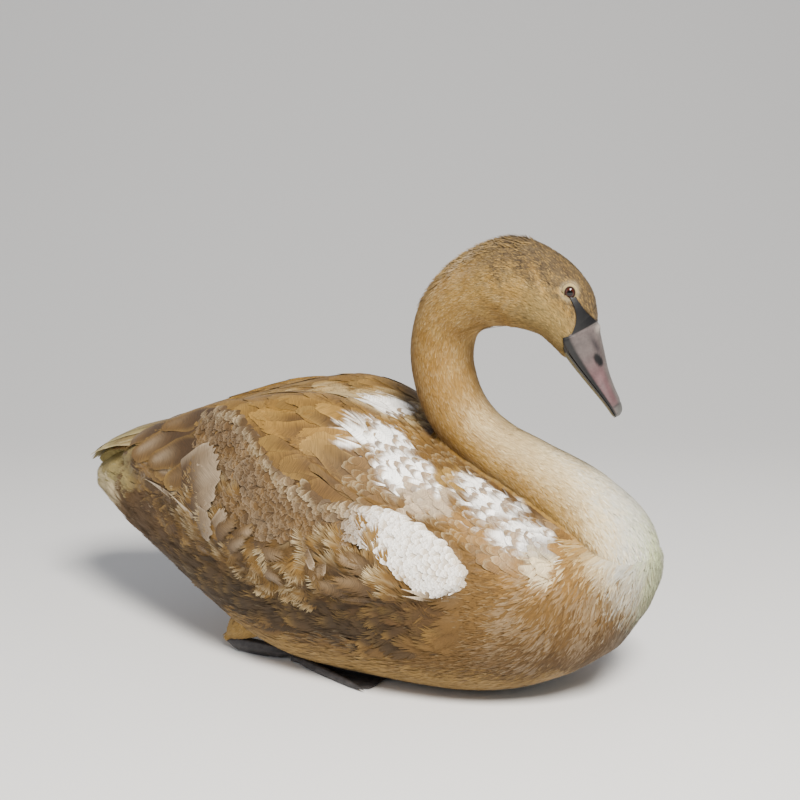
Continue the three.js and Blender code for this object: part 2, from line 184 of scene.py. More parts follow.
FRAMES = 80  # worked out beforehand in each span
SPINE_T = np.linspace(0, SPANS, SPANS * FRAMES + 1)
SPINE_ROWS = np.column_stack([  # columns: 0 centre, 3 ahead, 6 side, 9 crown, 12 deep, 13 wide
    spine_frames(SPINE_T), through(SPINE_DEEP, SPINE_T), through(SPINE_WIDE, SPINE_T),
])


def spine_rows(t):
    """The frame at t, straight between the nearest two of those worked out above."""
    i = np.clip(t, 0, SPANS - 0.001) * FRAMES
    j = i.astype(int)
    f = (i - j)[..., None]
    return SPINE_ROWS[j] * (1 - f) + SPINE_ROWS[j + 1] * f


def neck(t, round_, out=0.0):
    """Tube surface: an ellipse at t along the spine, with round_ in degrees from the bird's right
    over the crown (90) to its left (180)."""
    rows = spine_rows(t)
    a = np.radians(round_)
    egg = EGG * np.clip((t - HEAD_T) / 3, 0, 1)
    deep = (rows[..., 12] + out) * np.sin(a)
    wide = (rows[..., 13] * (1 - egg * np.sin(a)) + out) * np.cos(a)
    return rows[..., 0:3] + rows[..., 6:9] * wide[..., None] + rows[..., 9:12] * deep[..., None]


def neck_place(points):
    """The reverse: t, degrees round, and how far out in shares of the section, at the nearest of
    every eighth centre of the spine. It works in 40 parts, to save memory."""
    rows = SPINE_ROWS[::8]
    near = np.concatenate([
        ((part[:, None] - rows[None, :, :3]) ** 2).sum(-1).argmin(1)
        for part in np.array_split(points.reshape(-1, 3), 40)
    ])
    row = rows[near]
    d = points.reshape(-1, 3) - row[:, :3]
    wide = (d * row[:, 6:9]).sum(-1) / row[:, 13]
    deep = (d * row[:, 9:12]).sum(-1) / row[:, 12]
    numbers = SPINE_T[::8][near], np.degrees(np.arctan2(deep, wide)), np.hypot(wide, deep)
    return [v.reshape(points.shape[:-1]) for v in numbers]


print("the crown stands", neck(np.array(11.0), np.array(90.0))[2].round(), "mm high")

# %% The head's own frame
HEAD_AT = np.array([246.4, -49.7, 417.2])
YAW, PITCH = np.radians(14), np.radians(62.5)
HEAD_AHEAD = np.array([np.cos(PITCH) * np.cos(YAW), np.cos(PITCH) * np.sin(YAW), -np.sin(PITCH)])
HEAD_ABOVE = np.array([np.sin(PITCH) * np.cos(YAW), np.sin(PITCH) * np.sin(YAW), np.cos(PITCH)])
HEAD_LEFT = np.cross(HEAD_ABOVE, HEAD_AHEAD)
EYE_ABOVE = -1.5  # the eyes' centres, against the head's own middle


def in_head(ahead, left, above):
    """A point so far ahead of, left of and above the head's own middle, near the eyes."""
    ahead, left, above = (v[..., None] for v in (ahead, left, above))
    return HEAD_AT + ahead * HEAD_AHEAD + left * HEAD_LEFT + above * HEAD_ABOVE


def from_head(points):
    """The same three numbers, worked out from a point."""
    d = points - HEAD_AT
    return d @ HEAD_AHEAD, d @ HEAD_LEFT, d @ HEAD_ABOVE


eyes = in_head(np.array(0.0), np.array(0.0), np.array(EYE_ABOVE))
print("the eyes stand", eyes[2].round(), "mm high")

# %% [markdown]
# ## Colours
# A first-winter swan has no two feathers alike: dusky buff first feathers, white new ones, and
# stains from the water. The colour is therefore worked out per feather from soft named patches of
# the body, then varied a little from feather to feather. Painting a picture on the skin is the
# other way, and it would smear across the overlapping vanes.
# Some patches and marks are painted shade: low on the flank, at the rear, and in the fold beside the neck.


# %% From hex numbers to light
def ink(code):
    """sRGB hex to linear light: the sRGB curve undone for each channel."""
    v = np.array([int(code[i:i + 2], 16) for i in (0, 2, 4)]) / 255
    return np.where(v <= 0.04045, v / 12.92, ((v + 0.055) / 1.055) ** 2.4)


WHITE = ink("fdfbf6")
CREAM = ink("d2c19a")
BUFF = ink("95763d")
GOLD = ink("805e24")
OCHRE = ink("7d5b2a")
BROWN = ink("5f4520")
DUSK = ink("3f2c17")
UMBER = ink("2f2211")
PINKISH = ink("5a462e")
PALE_PINK = ink("b3a188")
FAN = ink("4a3823")
CROWN = ink("493c2a")
CROWN_DARK = ink("32281d")
CHEEK = ink("7f6b40")
PLUSH = ink("bebfb9")
OLIVE = ink("8f8150")
GREENISH = ink("a8ba5c")


def mix(a, b, share):
    """Straight between two colours."""
    return a + (b - a) * np.asarray(share)[..., None]


def mottle(points, size, seed):
    """Smooth unevenness from about -1 to 1: seven sine waves in random directions, added up."""
    draw = np.random.default_rng(seed)
    waves = unit(draw.normal(size=(7, 3))) * (2 * np.pi / size) * draw.uniform(0.6, 1.5, (7, 1))
    phases = draw.uniform(0, 6.28, 7)
    return np.sin(points @ waves.T + phases).sum(-1) / 2.6


print("a white feather reflects", WHITE.mean().round(2), "of the light")

# %% Patches of the trunk, the same on both sides
PATCHES = [  # colour, centre, reach, strength
    (GOLD, (-60, 40, 262), (150, 90, 40), 0.8),
    (DUSK, (-215, 75, 190), (70, 60, 45), 0.6),
    (BUFF, (0, 0, 0), (420, 170, 62), 0.7),
    # Dusky and umber low on the flank: the flank's own dark brown, deepened by painted shade low on the
    # side.
    (DUSK, (20, 145, 100), (155, 50, 34), 0.8),
    (UMBER, (-170, 110, 90), (110, 70, 44), 0.8),
    (UMBER, (-30, 140, 82), (150, 50, 28), 0.85),
    (OCHRE, (235, 90, 165), (60, 60, 40), 0.75),
    (BROWN, (240, 100, 105), (75, 60, 34), 0.85),
    (DUSK, (240, 0, 70), (120, 160, 34), 0.4),
    (CREAM, (316, 12, 152), (34, 74, 56), 0.32),
    (PLUSH, (324, 10, 165), (24, 56, 44), 0.3),
    (GREENISH, (325, 6, 166), (12, 26, 18), 0.6),
    # Painted shade on the back behind the neck's base.
    (DUSK, (66, 10, 268), (44, 22, 14), 0.6),
    (PALE_PINK, (122, 98, 216), (36, 28, 20), 0.6),
    (BUFF, (130, 66, 226), (24, 26, 14), 0.7),
    (OCHRE, (165, 100, 190), (34, 26, 20), 0.7),
    (WHITE, (60, 71, 264), (36, 28, 17), 1.0),
    (WHITE, (96, 92, 238), (42, 28, 19), 1.0),
    (WHITE, (160, 58, 212), (30, 26, 19), 1.0),
    (WHITE, (190, 66, 201), (28, 26, 20), 1.0),
    (WHITE, (216, 78, 182), (30, 24, 26), 0.85),
    (CREAM, (238, 92, 160), (14, 20, 14), 0.7),
    (OLIVE, (-330, 0, 190), (60, 70, 40), 0.9),
    (CREAM, (-322, 30, 152), (40, 50, 20), 0.55),
    (BUFF, (-10, 0, 276), (130, 44, 16), 0.7),
    (CREAM, (0, 0, 278), (90, 44, 13), 0.35),
    (WHITE, (30, 8, 275), (24, 23, 12), 0.8),
    # Dusky at the rear, low on the side: the rear's own brown, deepened by painted shade.
    (DUSK, (-225, 85, 130), (60, 60, 40), 0.7),
]


def trunk_colour(points):
    """Brown, then each patch laid over what is there: full inside its reach, soft at its rim. The
    breast gets pale and dark clouds as well."""
    p = points.copy()
    p[..., 1] = np.abs(p[..., 1])
    warp = 7 * np.stack([mottle(points, 45, 1), mottle(points, 45, 2), mottle(points, 45, 3)], -1)
    colour = np.broadcast_to(BROWN, p.shape)
    for tone, centre, reach, strength in PATCHES:
        d = (((p + warp - centre) / reach) ** 2).sum(-1)
        colour = mix(colour, tone, strength * smooth(1.35, 0.55, d))
    breast = smooth(150, 215, points[..., 0]) * smooth(225, 195, points[..., 2])
    patchy = mottle(points, 42, 17)
    colour = mix(colour, PALE_PINK, 0.2 * breast * smooth(0.1, 1.0, patchy))
    return mix(colour, DUSK, 0.5 * breast * smooth(-0.2, -1.1, patchy))


def neck_colour(t, round_, points):
    """Golden buff, paler down the front of the neck, dusky on crown and nape."""
    upper = np.sin(np.radians(round_))
    front = smooth(0.1, -0.7, upper)
    bend = np.exp(-(((t - 6.4) / 1.8) ** 2))
    colour = mix(BUFF, GOLD, np.clip(0.5 + 0.35 * bend + 0.4 * mottle(points, 26, 11), 0, 1))
    colour = mix(colour, CREAM, front * (0.04 + 0.34 * smooth(6.2, 4.6, t)))
    edge = t + 2.6 * upper + 0.25 + 0.3 * mottle(points, 18, 15)
    colour = mix(colour, CREAM, 0.8 * smooth(1.7, -0.1, edge))
    colour = mix(colour, PLUSH, 0.85 * smooth(0.7, -0.9, edge))
    colour = colour * (1 - 0.3 * smooth(1.6, 0.3, t))[..., None]
    stain = np.exp(-(((t - 0.95) / 0.35) ** 2)) * smooth(-0.75, -1.0, upper)
    colour = mix(colour, GREENISH, 0.5 * stain)
    colour = mix(colour, OCHRE, 0.35 * bend * smooth(-0.5, 0.1, upper))
    colour = mix(colour, CREAM, 0.16 * smooth(0.2, 1, mottle(points, 12, 14)))
    nape = smooth(0.2, 0.8, upper) * np.exp(-(((t - 10.1) / 0.9) ** 2))
    colour = mix(colour, PALE_PINK, 0.5 * nape * smooth(-0.6, 0.6, mottle(points, 15, 16)))
    dusky = smooth(-0.15, 0.55, upper + 0.25 * mottle(points, 16, 12)) * smooth(9.7, 11.3, t)
    colour = mix(colour, CROWN, 0.9 * dusky)
    colour = mix(colour, CROWN_DARK, 0.65 * dusky * smooth(0.1, 0.9, mottle(points, 9, 13)))
    cheek = smooth(0.4, -0.2, upper) * smooth(11.2, 12.4, t)
    colour = mix(colour, CHEEK, 0.8 * cheek)
    return mix(colour, GOLD, 0.35 * smooth(-0.55, -0.95, upper) * smooth(9.5, 11, t))


print("patches on the trunk:", len(PATCHES))

# %% [markdown]
# ## One skin
# Under the feathers a bird is one unbroken skin. The solids of flesh are copied, welded together
# by a voxel remesh, smoothed, and drawn in by the depth of the coat, so that no seam between
# neck, trunk and wings can show through. Boolean joins would keep every facet of the solids.


# %% Meshes from arrays, and back
def read(rows, name, width=3, kind=float):
    """One property of every vertex, triangle or corner, as an array with a row for each."""
    values = np.empty(len(rows) * width, kind)
    rows.foreach_get(name, values)
    return values.reshape(-1, width)


def put_object(name, mesh, colours=None):
    """An object of that mesh at the origin, with smooth faces and an optional colour per vertex."""
    mesh.polygons.foreach_set("use_smooth", np.ones(len(mesh.polygons), bool))
    if colours is not None:
        rgba = np.ones((len(mesh.vertices), 4), np.float32)
        rgba[:, :3] = np.asarray(colours).reshape(-1, 3)
        mesh.color_attributes.new("Coat", "FLOAT_COLOR", "POINT").data.foreach_set("color", rgba.ravel())
    made = bpy.data.objects.new(name, mesh)
    bpy.context.scene.collection.objects.link(made)
    return made


def put_mesh(name, points, faces, colours=None, maps=None):
    """The same from millimetre points and faces, with optional UV maps, each given per vertex."""
    mesh = bpy.data.meshes.new(name)
    mesh.from_pydata(np.asarray(points, float).reshape(-1, 3) * MM, [], faces)
    made = put_object(name, mesh, colours)
    corner = read(mesh.loops, "vertex_index", 1, np.int32).ravel()
    for title, uv in (maps or {}).items():
        layer = mesh.uv_layers.new(name=title)
        layer.data.foreach_set("uv", np.asarray(uv, np.float32).reshape(-1, 2)[corner].ravel())
    return made


trunk_corners = read(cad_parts["trunk"].data.vertices, "co")
print("the trunk's solid has", len(trunk_corners), "vertices")

# %% Weld the solids of flesh into one skin
FLESH = ["trunk", "tail", "wing_left", "wing_right", "leg_left", "leg_right",
         "neck_lower", "neck_middle", "neck_upper", "head"]


def welded_copy(nodes):
    """Vertices and triangles of CAD nodes, with corners that share a place made one."""
    points, faces, start = [], [], 0
    for node in nodes:
        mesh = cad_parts[node].data
        mesh.calc_loop_triangles()
        rounded = np.round(read(mesh.vertices, "co"), 6)
        unique, back = np.unique(rounded, axis=0, return_inverse=True)
        tri = back.ravel()[read(mesh.loop_triangles, "vertices", 3, np.int32)]
        tri = tri[(tri[:, 0] != tri[:, 1]) & (tri[:, 1] != tri[:, 2]) & (tri[:, 0] != tri[:, 2])]
        points.append(unique / MM)
        faces.append(tri + start)
        start += len(unique)
    return np.concatenate(points), np.concatenate(faces)


def weld(name, nodes, cell, softness, rounds):
    """The nodes' solids as one mesh: cut into cells of that many millimetres, then smoothed."""
    rough = put_mesh(name, *welded_copy(nodes))
    remesh = rough.modifiers.new("weld", "REMESH")
    remesh.mode = "VOXEL"
    remesh.voxel_size = cell * MM
    relax = rough.modifiers.new("relax", "SMOOTH")
    relax.factor = softness
    relax.iterations = rounds
    seen = rough.evaluated_get(bpy.context.evaluated_depsgraph_get())
    mesh = bpy.data.meshes.new_from_object(seen)
    bpy.data.objects.remove(rough)
    return mesh


welded = weld("skin_rough", FLESH, 3.4, 0.6, 10)
welded.calc_loop_triangles()
outer = read(welded.vertices, "co") / MM
print("the skin has", len(outer), "vertices")

# %% Draw the skin in by the depth of the coat and tint it
COAT = 2.3  # depth in mm on the trunk, less on neck, head and tail
t, round_, share = neck_place(outer)
on_neck = smooth(1.12, 1.02, share)
depth = COAT - 0.6 * smooth(8, 11.5, t) * on_neck - 0.7 * on_neck
depth = depth - 0.7 * smooth(-250, -320, outer[:, 0])
inner = outer - read(welded.vertices, "normal") * depth[:, None]
# The skin takes the coat's colour a tenth darker: painted shade under the feathers.
tint = mix(trunk_colour(outer), neck_colour(t, round_, outer), on_neck) * 0.9
skin = put_mesh("skin", inner, read(welded.loop_triangles, "vertices", 3, np.int32), tint)
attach(skin, "root")
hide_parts(*FLESH)
print("the coat is", depth.min().round(1), "to", depth.max().round(1), "mm deep")

# %% [markdown]
# ## Planting feathers
# Each feather is a small grid: "a" runs from its root to its tip and "b" across it. The grid is
# laid out flat around the root, turned so that it points the way the coat lies, and then carried
# through the surface's own two numbers, so that a long feather bends round the body instead of
# standing off it. Hair particles would do this too, but they don't survive an export.


# %% Where feathers root
def slopes(surface, u, v, step_u, step_v):
    """The surface's two tangents at (u, v), from points a small step either side."""
    slope_u = (surface(u + step_u, v) - surface(u - step_u, v)) / (2 * step_u)
    slope_v = (surface(u, v + step_v) - surface(u, v - step_v)) / (2 * step_v)
    return slope_u, slope_v


CROWDING = 6  # places tried for each square of the spacing


def roots(surface, u_range, v_range, spacing, seed, keep=None, steps=(0.5, 0.5), stretch=1.0):
    """Even but unruly places: many random ones, thinned to one for each small cube of space, or
    for each small brick "stretch" times as long as it is wide."""
    draw = np.random.default_rng(seed)
    grid_u, grid_v = np.meshgrid(np.linspace(*u_range, 40), np.linspace(*v_range, 40))
    stretched = np.linalg.norm(np.cross(*slopes(surface, grid_u, grid_v, *steps)), axis=-1)
    area = stretched.mean() * (u_range[1] - u_range[0]) * (v_range[1] - v_range[0])
    count = int(CROWDING * area / spacing ** 2)
    u, v = draw.uniform(*u_range, count), draw.uniform(*v_range, count)
    p = surface(u, v)
    if keep is not None:
        held = keep(u, v, p)
        u, v, p = u[held], v[held], p[held]
    cells = np.floor(p / spacing / np.array([stretch, 1, 1]) + draw.uniform(0, 1, 3)).astype(int)
    _, first = np.unique(cells, axis=0, return_index=True)
    first = draw.permutation(first)
    return u[first], v[first]


tried = roots(body, (0, 60), (20, 50), 10.0, 1)
print("a patch of the flank takes", len(tried[0]), "feathers 10 mm apart")


# %% Two makes of feather
def blades(n, length, width, draw, rows, cols, point, jag):
    """Sleek feathers, each a grid: a runs from root to tip and b across. The sides bulge from a
    narrow quill, and the tip is a rounded or pointed end with a few short barbs missing."""
    a = np.linspace(0, 1, rows)[None, :, None] ** 0.8
    b = np.linspace(-1, 1, cols)[None, None, :]
    half = (width / 2)[:, None, None]
    outline = (0.3 + 0.7 * smooth(0, 0.45, a)) * (1 - point * smooth(0.45, 1, a))
    rim = half * (1 - np.sqrt(np.maximum(1 - 0.96 * b * b, 0))) * a ** 1.5 * (cols > 2)
    ragged = jag * draw.uniform(-1, 0.25, (n, 1, cols)) * a ** 3
    along = length[:, None, None] * (a + ragged) - rim
    across = half * outline * b
    big = (n, rows, cols)
    return [np.broadcast_to(v, big) for v in (a, b, along, across, 0.0)], np.ones(rows - 1, bool)


def barbs(n, length, width, draw, count, fluff):
    """Loose feathers, each a sheaf of strips. They leave the shaft in turn to left and right, lean
    forward more and more towards the tip, bend, taper to a hair and rise by "fluff" at their ends."""
    each, strip = (n, count, 1, 1), np.arange(count)
    hand = np.where(strip % 2 == 1, 1.0, -1.0)[None, :, None, None]
    out = np.linspace(0, 1, 4)[None, None, :, None]
    edge = np.array([-1.0, 1.0])[None, None, None, :]
    start = ((strip // 2 + 0.6) / (count // 2 + 0.6))[None, :, None, None]
    start = start + draw.uniform(-0.02, 0.02, each)
    full, half = length[:, None, None, None], (width / 2)[:, None, None, None]
    shaft = np.maximum(full - 1.1 * half, 0.4 * full)
    lean = 0.75 * (1 - 0.8 * start * start) + draw.normal(0, 0.09, each)
    reach = 1.45 * half * (0.5 + 0.5 * smooth(0, 0.3, start)) * (1 - 0.25 * smooth(0.7, 1, start))
    reach = reach * draw.uniform(0.82, 1.12, each)
    turned = lean * (1 - 0.3 * out)
    thick = 1.7 * shaft / count * (1 - 0.92 * out ** 2)
    along = start * shaft + reach * out * np.cos(turned) - edge * thick * hand * np.sin(turned)
    across = hand * reach * out * np.sin(turned) + edge * thick * np.cos(turned)
    rise = draw.normal(0, 0.1, each) + fluff * out * out * draw.uniform(0, 1, each)
    grids = (np.clip(along / full, 0, 1.1), np.clip(across / half, -1.2, 1.2), along, across, rise)
    shape = [np.broadcast_to(v, (n, count, 4, 2)).reshape(n, count * 4, 2) for v in grids]
    return shape, np.arange(count * 4 - 1) % 4 != 3


_, joined = barbs(1, np.array([50.0]), np.array([25.0]), np.random.default_rng(1), 60, 0.4)
print("a loose feather of 60 barbs has", int(joined.sum()), "quads")


# %% How a feather lies, bends and is joined
def laid(draw, aim, normal, turn):
    """The way each feather points and the way across it: its aim pressed flat on the surface, then
    turned by a few random degrees."""
    ahead = unit(aim - (aim * normal).sum(-1, keepdims=True) * normal)
    beside = np.cross(normal, ahead)
    angle = np.radians(draw.normal(0, turn, len(aim)))[:, None]
    cos, sin = np.cos(angle), np.sin(angle)
    return ahead * cos + beside * sin, beside * cos - ahead * sin


def carried(u, v, slope_u, slope_v, steps):
    """Where steps in space lead in the surface's two numbers. Each step is so much of one slope and
    so much of the other: its dot products with both give two equations, solved by determinants."""
    slope_u, slope_v = slope_u[:, None, None], slope_v[:, None, None]
    uu, uv, vv = ((one * two).sum(-1) for one, two in
                  ((slope_u, slope_u), (slope_u, slope_v), (slope_v, slope_v)))
    on_u, on_v = (steps * slope_u).sum(-1), (steps * slope_v).sum(-1)
    det = uu * vv - uv * uv
    return (u[:, None, None] + (vv * on_u - uv * on_v) / det,
            v[:, None, None] + (uu * on_v - uv * on_u) / det)


def feather_quads(shape, joined, side):
    """Quads between the joined rows of every grid, turned over on the side that is mirrored."""
    at = np.arange(np.prod(shape)).reshape(shape)
    quads = np.stack([at[:, :-1, :-1], at[:, :-1, 1:], at[:, 1:, 1:], at[:, 1:, :-1]], -1)[:, joined]
    return np.where((side < 0)[:, None, None, None], quads, quads[..., ::-1]).reshape(-1, 4)


def soft_normals(mesh, surface_normals, share):
    """Each vertex looks partly the way the body under it does, as loose barbs scatter light."""
    blend = unit(share * surface_normals + (1 - share) * read(mesh.vertices, "normal"))
    mesh.normals_split_custom_set_from_vertices(blend.tolist())


print("a blade of 4 by 2 points has", len(feather_quads((1, 4, 2), np.ones(3, bool), np.ones(1))), "quads")

# %% One call for every region
PATCH_HALF, PATCH_LENGTH = 0.0012, 0.0027  # a feather's own patch of the OFBake map


def plant(name, surface, u, v, aim, length, width, make, colour, chart, *, seed, material, root, tip,
          turn, side=1.0, slot="plumage", outward=-1.0, steps=(0.5, 0.5), spread=0.15, point=0.18,
          jag=0.0, fluff=0.0, curl=0.0, cup=0.0, sweep=0.0, soften=0.6, meet=None):
    """Feathers on a surface: blades if make is (rows, columns), barbs if it is a number. Each is
    drawn flat round its root, turned the way the coat lies and carried through the surface's two
    numbers. Above the surface it rises evenly from root to tip, both in mm; curl lifts its end, cup
    its middle and fluff its barbs, and sweep bends it sideways. Directions vary by turn degrees and
    sizes by the share spread. point narrows a blade's tip and jag frays it. side is -1 where it is
    mirrored to the right, and soften and meet correct the way its vertices look."""
    draw = np.random.default_rng(seed)
    n = len(u)
    each = (n, 1, 1)
    side = np.broadcast_to(np.asarray(side, float), n)
    p = surface(u, v)
    slope_u, slope_v = slopes(surface, u, v, *steps)
    normal = unit(np.cross(slope_u, slope_v)) * outward
    ahead, beside = laid(draw, aim(p, u, v), normal, turn)
    length = np.broadcast_to(length, n) * draw.uniform(1 - spread, 1 + spread, n)
    width = np.broadcast_to(width, n) * draw.uniform(1 - spread, 1 + spread, n)
    if isinstance(make, tuple):
        (a, b, along, across, rise), joined = blades(n, length, width, draw, *make, point, jag)
    else:
        (a, b, along, across, rise), joined = barbs(n, length, width, draw, make, fluff)
    full, half = length.reshape(each), (width / 2).reshape(each)
    across = across + sweep * draw.normal(0.4, 1.0, each) * full * a * a
    flat = along[..., None] * ahead[:, None, None] + across[..., None] * beside[:, None, None]
    at_u, at_v = carried(u, v, slope_u, slope_v, flat)
    loose = full * np.clip(a, 0, 1) ** 2.5 * draw.uniform(0.3, 1.3, each)
    lifted = root + (tip - root) * a + draw.uniform(-0.2, 0.2, each) + rise + curl * loose
    lifted = lifted + cup * half * (1 - np.clip(b * b, 0, 1))
    points = surface(at_u, at_v, lifted)
    paint = colour(points, a, b, at_u, at_v, draw, p)
    mirror = np.stack([np.ones(n), side, np.ones(n)], -1)[:, None, None]
    facing = unit(np.cross(*slopes(surface, at_u, at_v, *steps))) * outward * mirror
    points = points * mirror
    if meet:
        facing = meet(points, facing)
    grain = draw.uniform(0, 9, each)
    vane = np.stack([across * 0.1 + grain, (along - 0.6 * np.abs(across)) * 0.1 + grain], -1)
    chart_u, chart_v = (place[:, None, None] for place in chart(u, v, side))
    patch = np.stack([chart_u + PATCH_HALF * b, chart_v + PATCH_LENGTH * a], -1)
    quads = feather_quads(a.shape, joined, side)
    made = put_mesh(name, points, quads, paint, {"OFBake": patch, "Vane": vane})
    soft_normals(made.data, facing.reshape(-1, 3), soften)
    made.data.materials.append(material)
    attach(made, "root")
    print(name, n, "feathers,", len(made.data.polygons) * 2, "triangles")


def trunk_chart(u, v, side):
    """The trunk's skin unrolled: x along, degrees round."""
    up = np.where(side > 0, v, 180 - v)
    return 0.02 + 0.96 * (u + 360) / 700, 0.02 + 0.96 * np.mod(up + 90, 360) / 361


def neck_chart(u, v, side):
    """The neck's skin unrolled: along the spine, degrees round."""
    return 0.02 + 0.96 * u / 15.1, 0.02 + 0.96 * np.mod(v, 360) / 361


print("each feather takes about", 2 * PATCH_HALF, "by", PATCH_LENGTH, "of its map")

# %% [markdown]
# ## Finishes
# Barbs make a vane finely ridged and streaked along its own slant, while down scatters the light
# and shows hardly any ridge. So both read a map that runs with each feather's barbs. A noise on the
# bird's own place would run on from one feather to the next, so it is left to skin, horn, eyes
# and feet.


# %% Feather and skin materials
def set_inputs(node, values):
    """Sets a node's inputs, each named with _ for a space."""
    for name, value in values.items():
        node.inputs[name.replace("_", " ")].default_value = value


def plain(name, **values):
    """A new material whose shader has those values, its node tree and its shader."""
    made = bpy.data.materials.new(name)
    made.use_nodes = True
    shader = made.node_tree.nodes["Principled BSDF"]
    set_inputs(shader, values)
    return made, made.node_tree, shader


def painted(name, uv=None, *, scale, detail, spread, ridge, stretch=(1, 1, 1), **values):
    """Painted colour, made uneven by a stretched noise that also ridges the surface. The noise
    reads the vane's own map where there is one, and the bird's own place elsewhere."""
    made, tree, shader = plain(name, **{"Specular_IOR_Level": 0.25, **values})

    def node(kind, **inputs):
        """A new node of that kind with those inputs."""
        new = tree.nodes.new("ShaderNode" + kind)
        set_inputs(new, inputs)
        return new

    coat, tint = node("VertexColor"), node("VectorMath")
    coat.layer_name = "Coat"
    tint.operation = "SCALE"
    if uv:
        place = node("UVMap")
        place.uv_map = uv
        source = place.outputs["UV"]
    else:
        source = node("TexCoord").outputs["Object"]
    mapping = node("Mapping", Scale=stretch)
    noise = node("TexNoise", Scale=scale, Detail=detail)
    shade = node("MapRange", From_Min=0.3, From_Max=0.7, To_Min=1 - spread, To_Max=1 + spread * 0.6)
    bump = node("Bump", Strength=ridge, Distance=0.0004)
    for output, into in [
        (source, mapping.inputs["Vector"]),
        (mapping.outputs["Vector"], noise.inputs["Vector"]),
        (noise.outputs["Fac"], shade.inputs["Value"]),
        (coat.outputs["Color"], tint.inputs[0]),
        (shade.outputs["Result"], tint.inputs["Scale"]),
        (tint.outputs["Vector"], shader.inputs["Base Color"]),
        (noise.outputs["Fac"], bump.inputs["Height"]),
        (bump.outputs["Normal"], shader.inputs["Normal"]),
    ]:
        tree.links.new(output, into)
    return made


VANE = painted("feather_vane", "Vane", scale=2.4, stretch=(0.35, 3.2, 1), detail=4.0, spread=0.34,
               ridge=0.7, Roughness=0.62, Sheen_Weight=0.03)
DOWN = painted("soft_plume", "Vane", scale=3.0, stretch=(2.5, 1.2, 1), detail=3.0, spread=0.12,
               ridge=0.2, Roughness=0.85, Sheen_Weight=0.05)
SKIN = painted("skin_under_feathers", scale=600.0, detail=2.0, spread=0.15, ridge=0.5, Roughness=0.9)
HORN = painted("bill_horn", scale=420.0, detail=6.0, spread=0.16, ridge=0.4, Roughness=0.4,
               Specular_IOR_Level=0.45)
EYE = painted("wet_eye", scale=900.0, detail=1.0, spread=0.1, ridge=0.0, Roughness=0.06,
              Coat_Weight=0.25, Coat_Roughness=0.02)
WEB = painted("foot_leather", scale=330.0, detail=5.0, spread=0.25, ridge=0.9, Roughness=0.55)
skin.data.materials.append(SKIN)
print("materials:", [m.name for m in (VANE, DOWN, SKIN, HORN, EYE, WEB)])

# %% [markdown]
# ## The regions of the coat
# Each region has feathers of its own size and finish: plush blades on the neck, tiny ones on the
# head, scaly coverts on the forearm, broad loose ones on the flank, and long smooth scapulars.


# %% What is hidden in what
def outside_neck(p, margin=0.985):
    """True where a trunk point isn't buried in the neck's tube, which leaves the trunk by t = 5.4."""
    t, _, share = neck_place(p)
    return (share > margin) | (t > 5.4)


def trunk_depth(p):
    """How far a point is from the trunk's middle line, as a share of the way to its surface. What
    lies ahead of the trunk's tip is far outside."""
    belly, back, half, widest = section(p[..., 0])
    dz = p[..., 2] - widest
    rise = np.where(dz > 0, back - widest, widest - belly)
    across = np.abs(p[..., 1] / np.maximum(half, 1)) ** SECTION_POWER
    k = across + np.abs(dz / np.maximum(rise, 1)) ** SECTION_POWER
    return np.where(p[..., 0] > TRUNK_X[-1] - 1, 9, k ** (1 / SECTION_POWER))


nape = neck(np.linspace(0, 10, 101), np.full(101, 90.0))
print("of 101 places up the neck's back the trunk hides", int((trunk_depth(nape) < 1).sum()))


# %% How feathers differ
def chance(draw, p):
    """One random share per feather, shaped to fit its grid."""
    return draw.uniform(0, 1, (len(p), 1, 1))


def per_feather(values, a):
    """One number per feather, repeated over its grid."""
    return values[:, None, None] + 0 * a


def cloudy(root, a, amount, size, seed):
    """A share per feather about one half, that drifts over the body."""
    return per_feather(np.clip(0.5 + amount * mottle(root, size, seed), 0, 1), a)


def direction(u, x, y, z):
    """One direction per feather, from numbers or arrays."""
    return np.stack([x + 0 * u, y + 0 * u, z + 0 * u], -1)


def vary(colour, draw, amount):
    """A little lighter or darker from feather to feather."""
    return colour * np.exp(draw.normal(0, amount, (len(colour), 1, 1, 1)))


def shifted(p, draw, size, streak=0.0):
    """Moves the place where a feather reads the pattern, and each barb of it along the body."""
    moved = p + draw.normal(0, size, (len(p), 1, 1, 3))
    moved[..., 0] += streak * draw.uniform(-1, 1, p.shape[:1] + (1, p.shape[2]))
    return moved


def neck_meets_breast(points, facing):
    """Low on the neck and beside it, feathers look the way both surfaces look together, so that
    light shows no edge between neck and breast."""
    t, _, share = neck_place(points)
    rows = spine_rows(t)
    depth = trunk_depth(points)
    slope = np.stack([trunk_depth(points + step) - depth for step in np.eye(3)], -1)
    both = unit(unit(points - rows[..., :3]) + unit(slope + 1e-9))
    near = smooth(1.45, 1.05, share) * smooth(1.3, 1.02, depth) * smooth(1.7, 1.1, t)
    return unit(mix(facing, both, near))


def fold_shade(t, touching):
    """How much painted shade darkens a feather in the fold between neck and shoulder."""
    return 0.65 * touching * smooth(0.8, 1.5, t) * smooth(4.4, 3.2, t)


reflected = vary(np.full((3, 1, 1, 1), 0.5), np.random.default_rng(2), 0.1).ravel()
print("three feathers of one colour reflect", reflected.round(2))


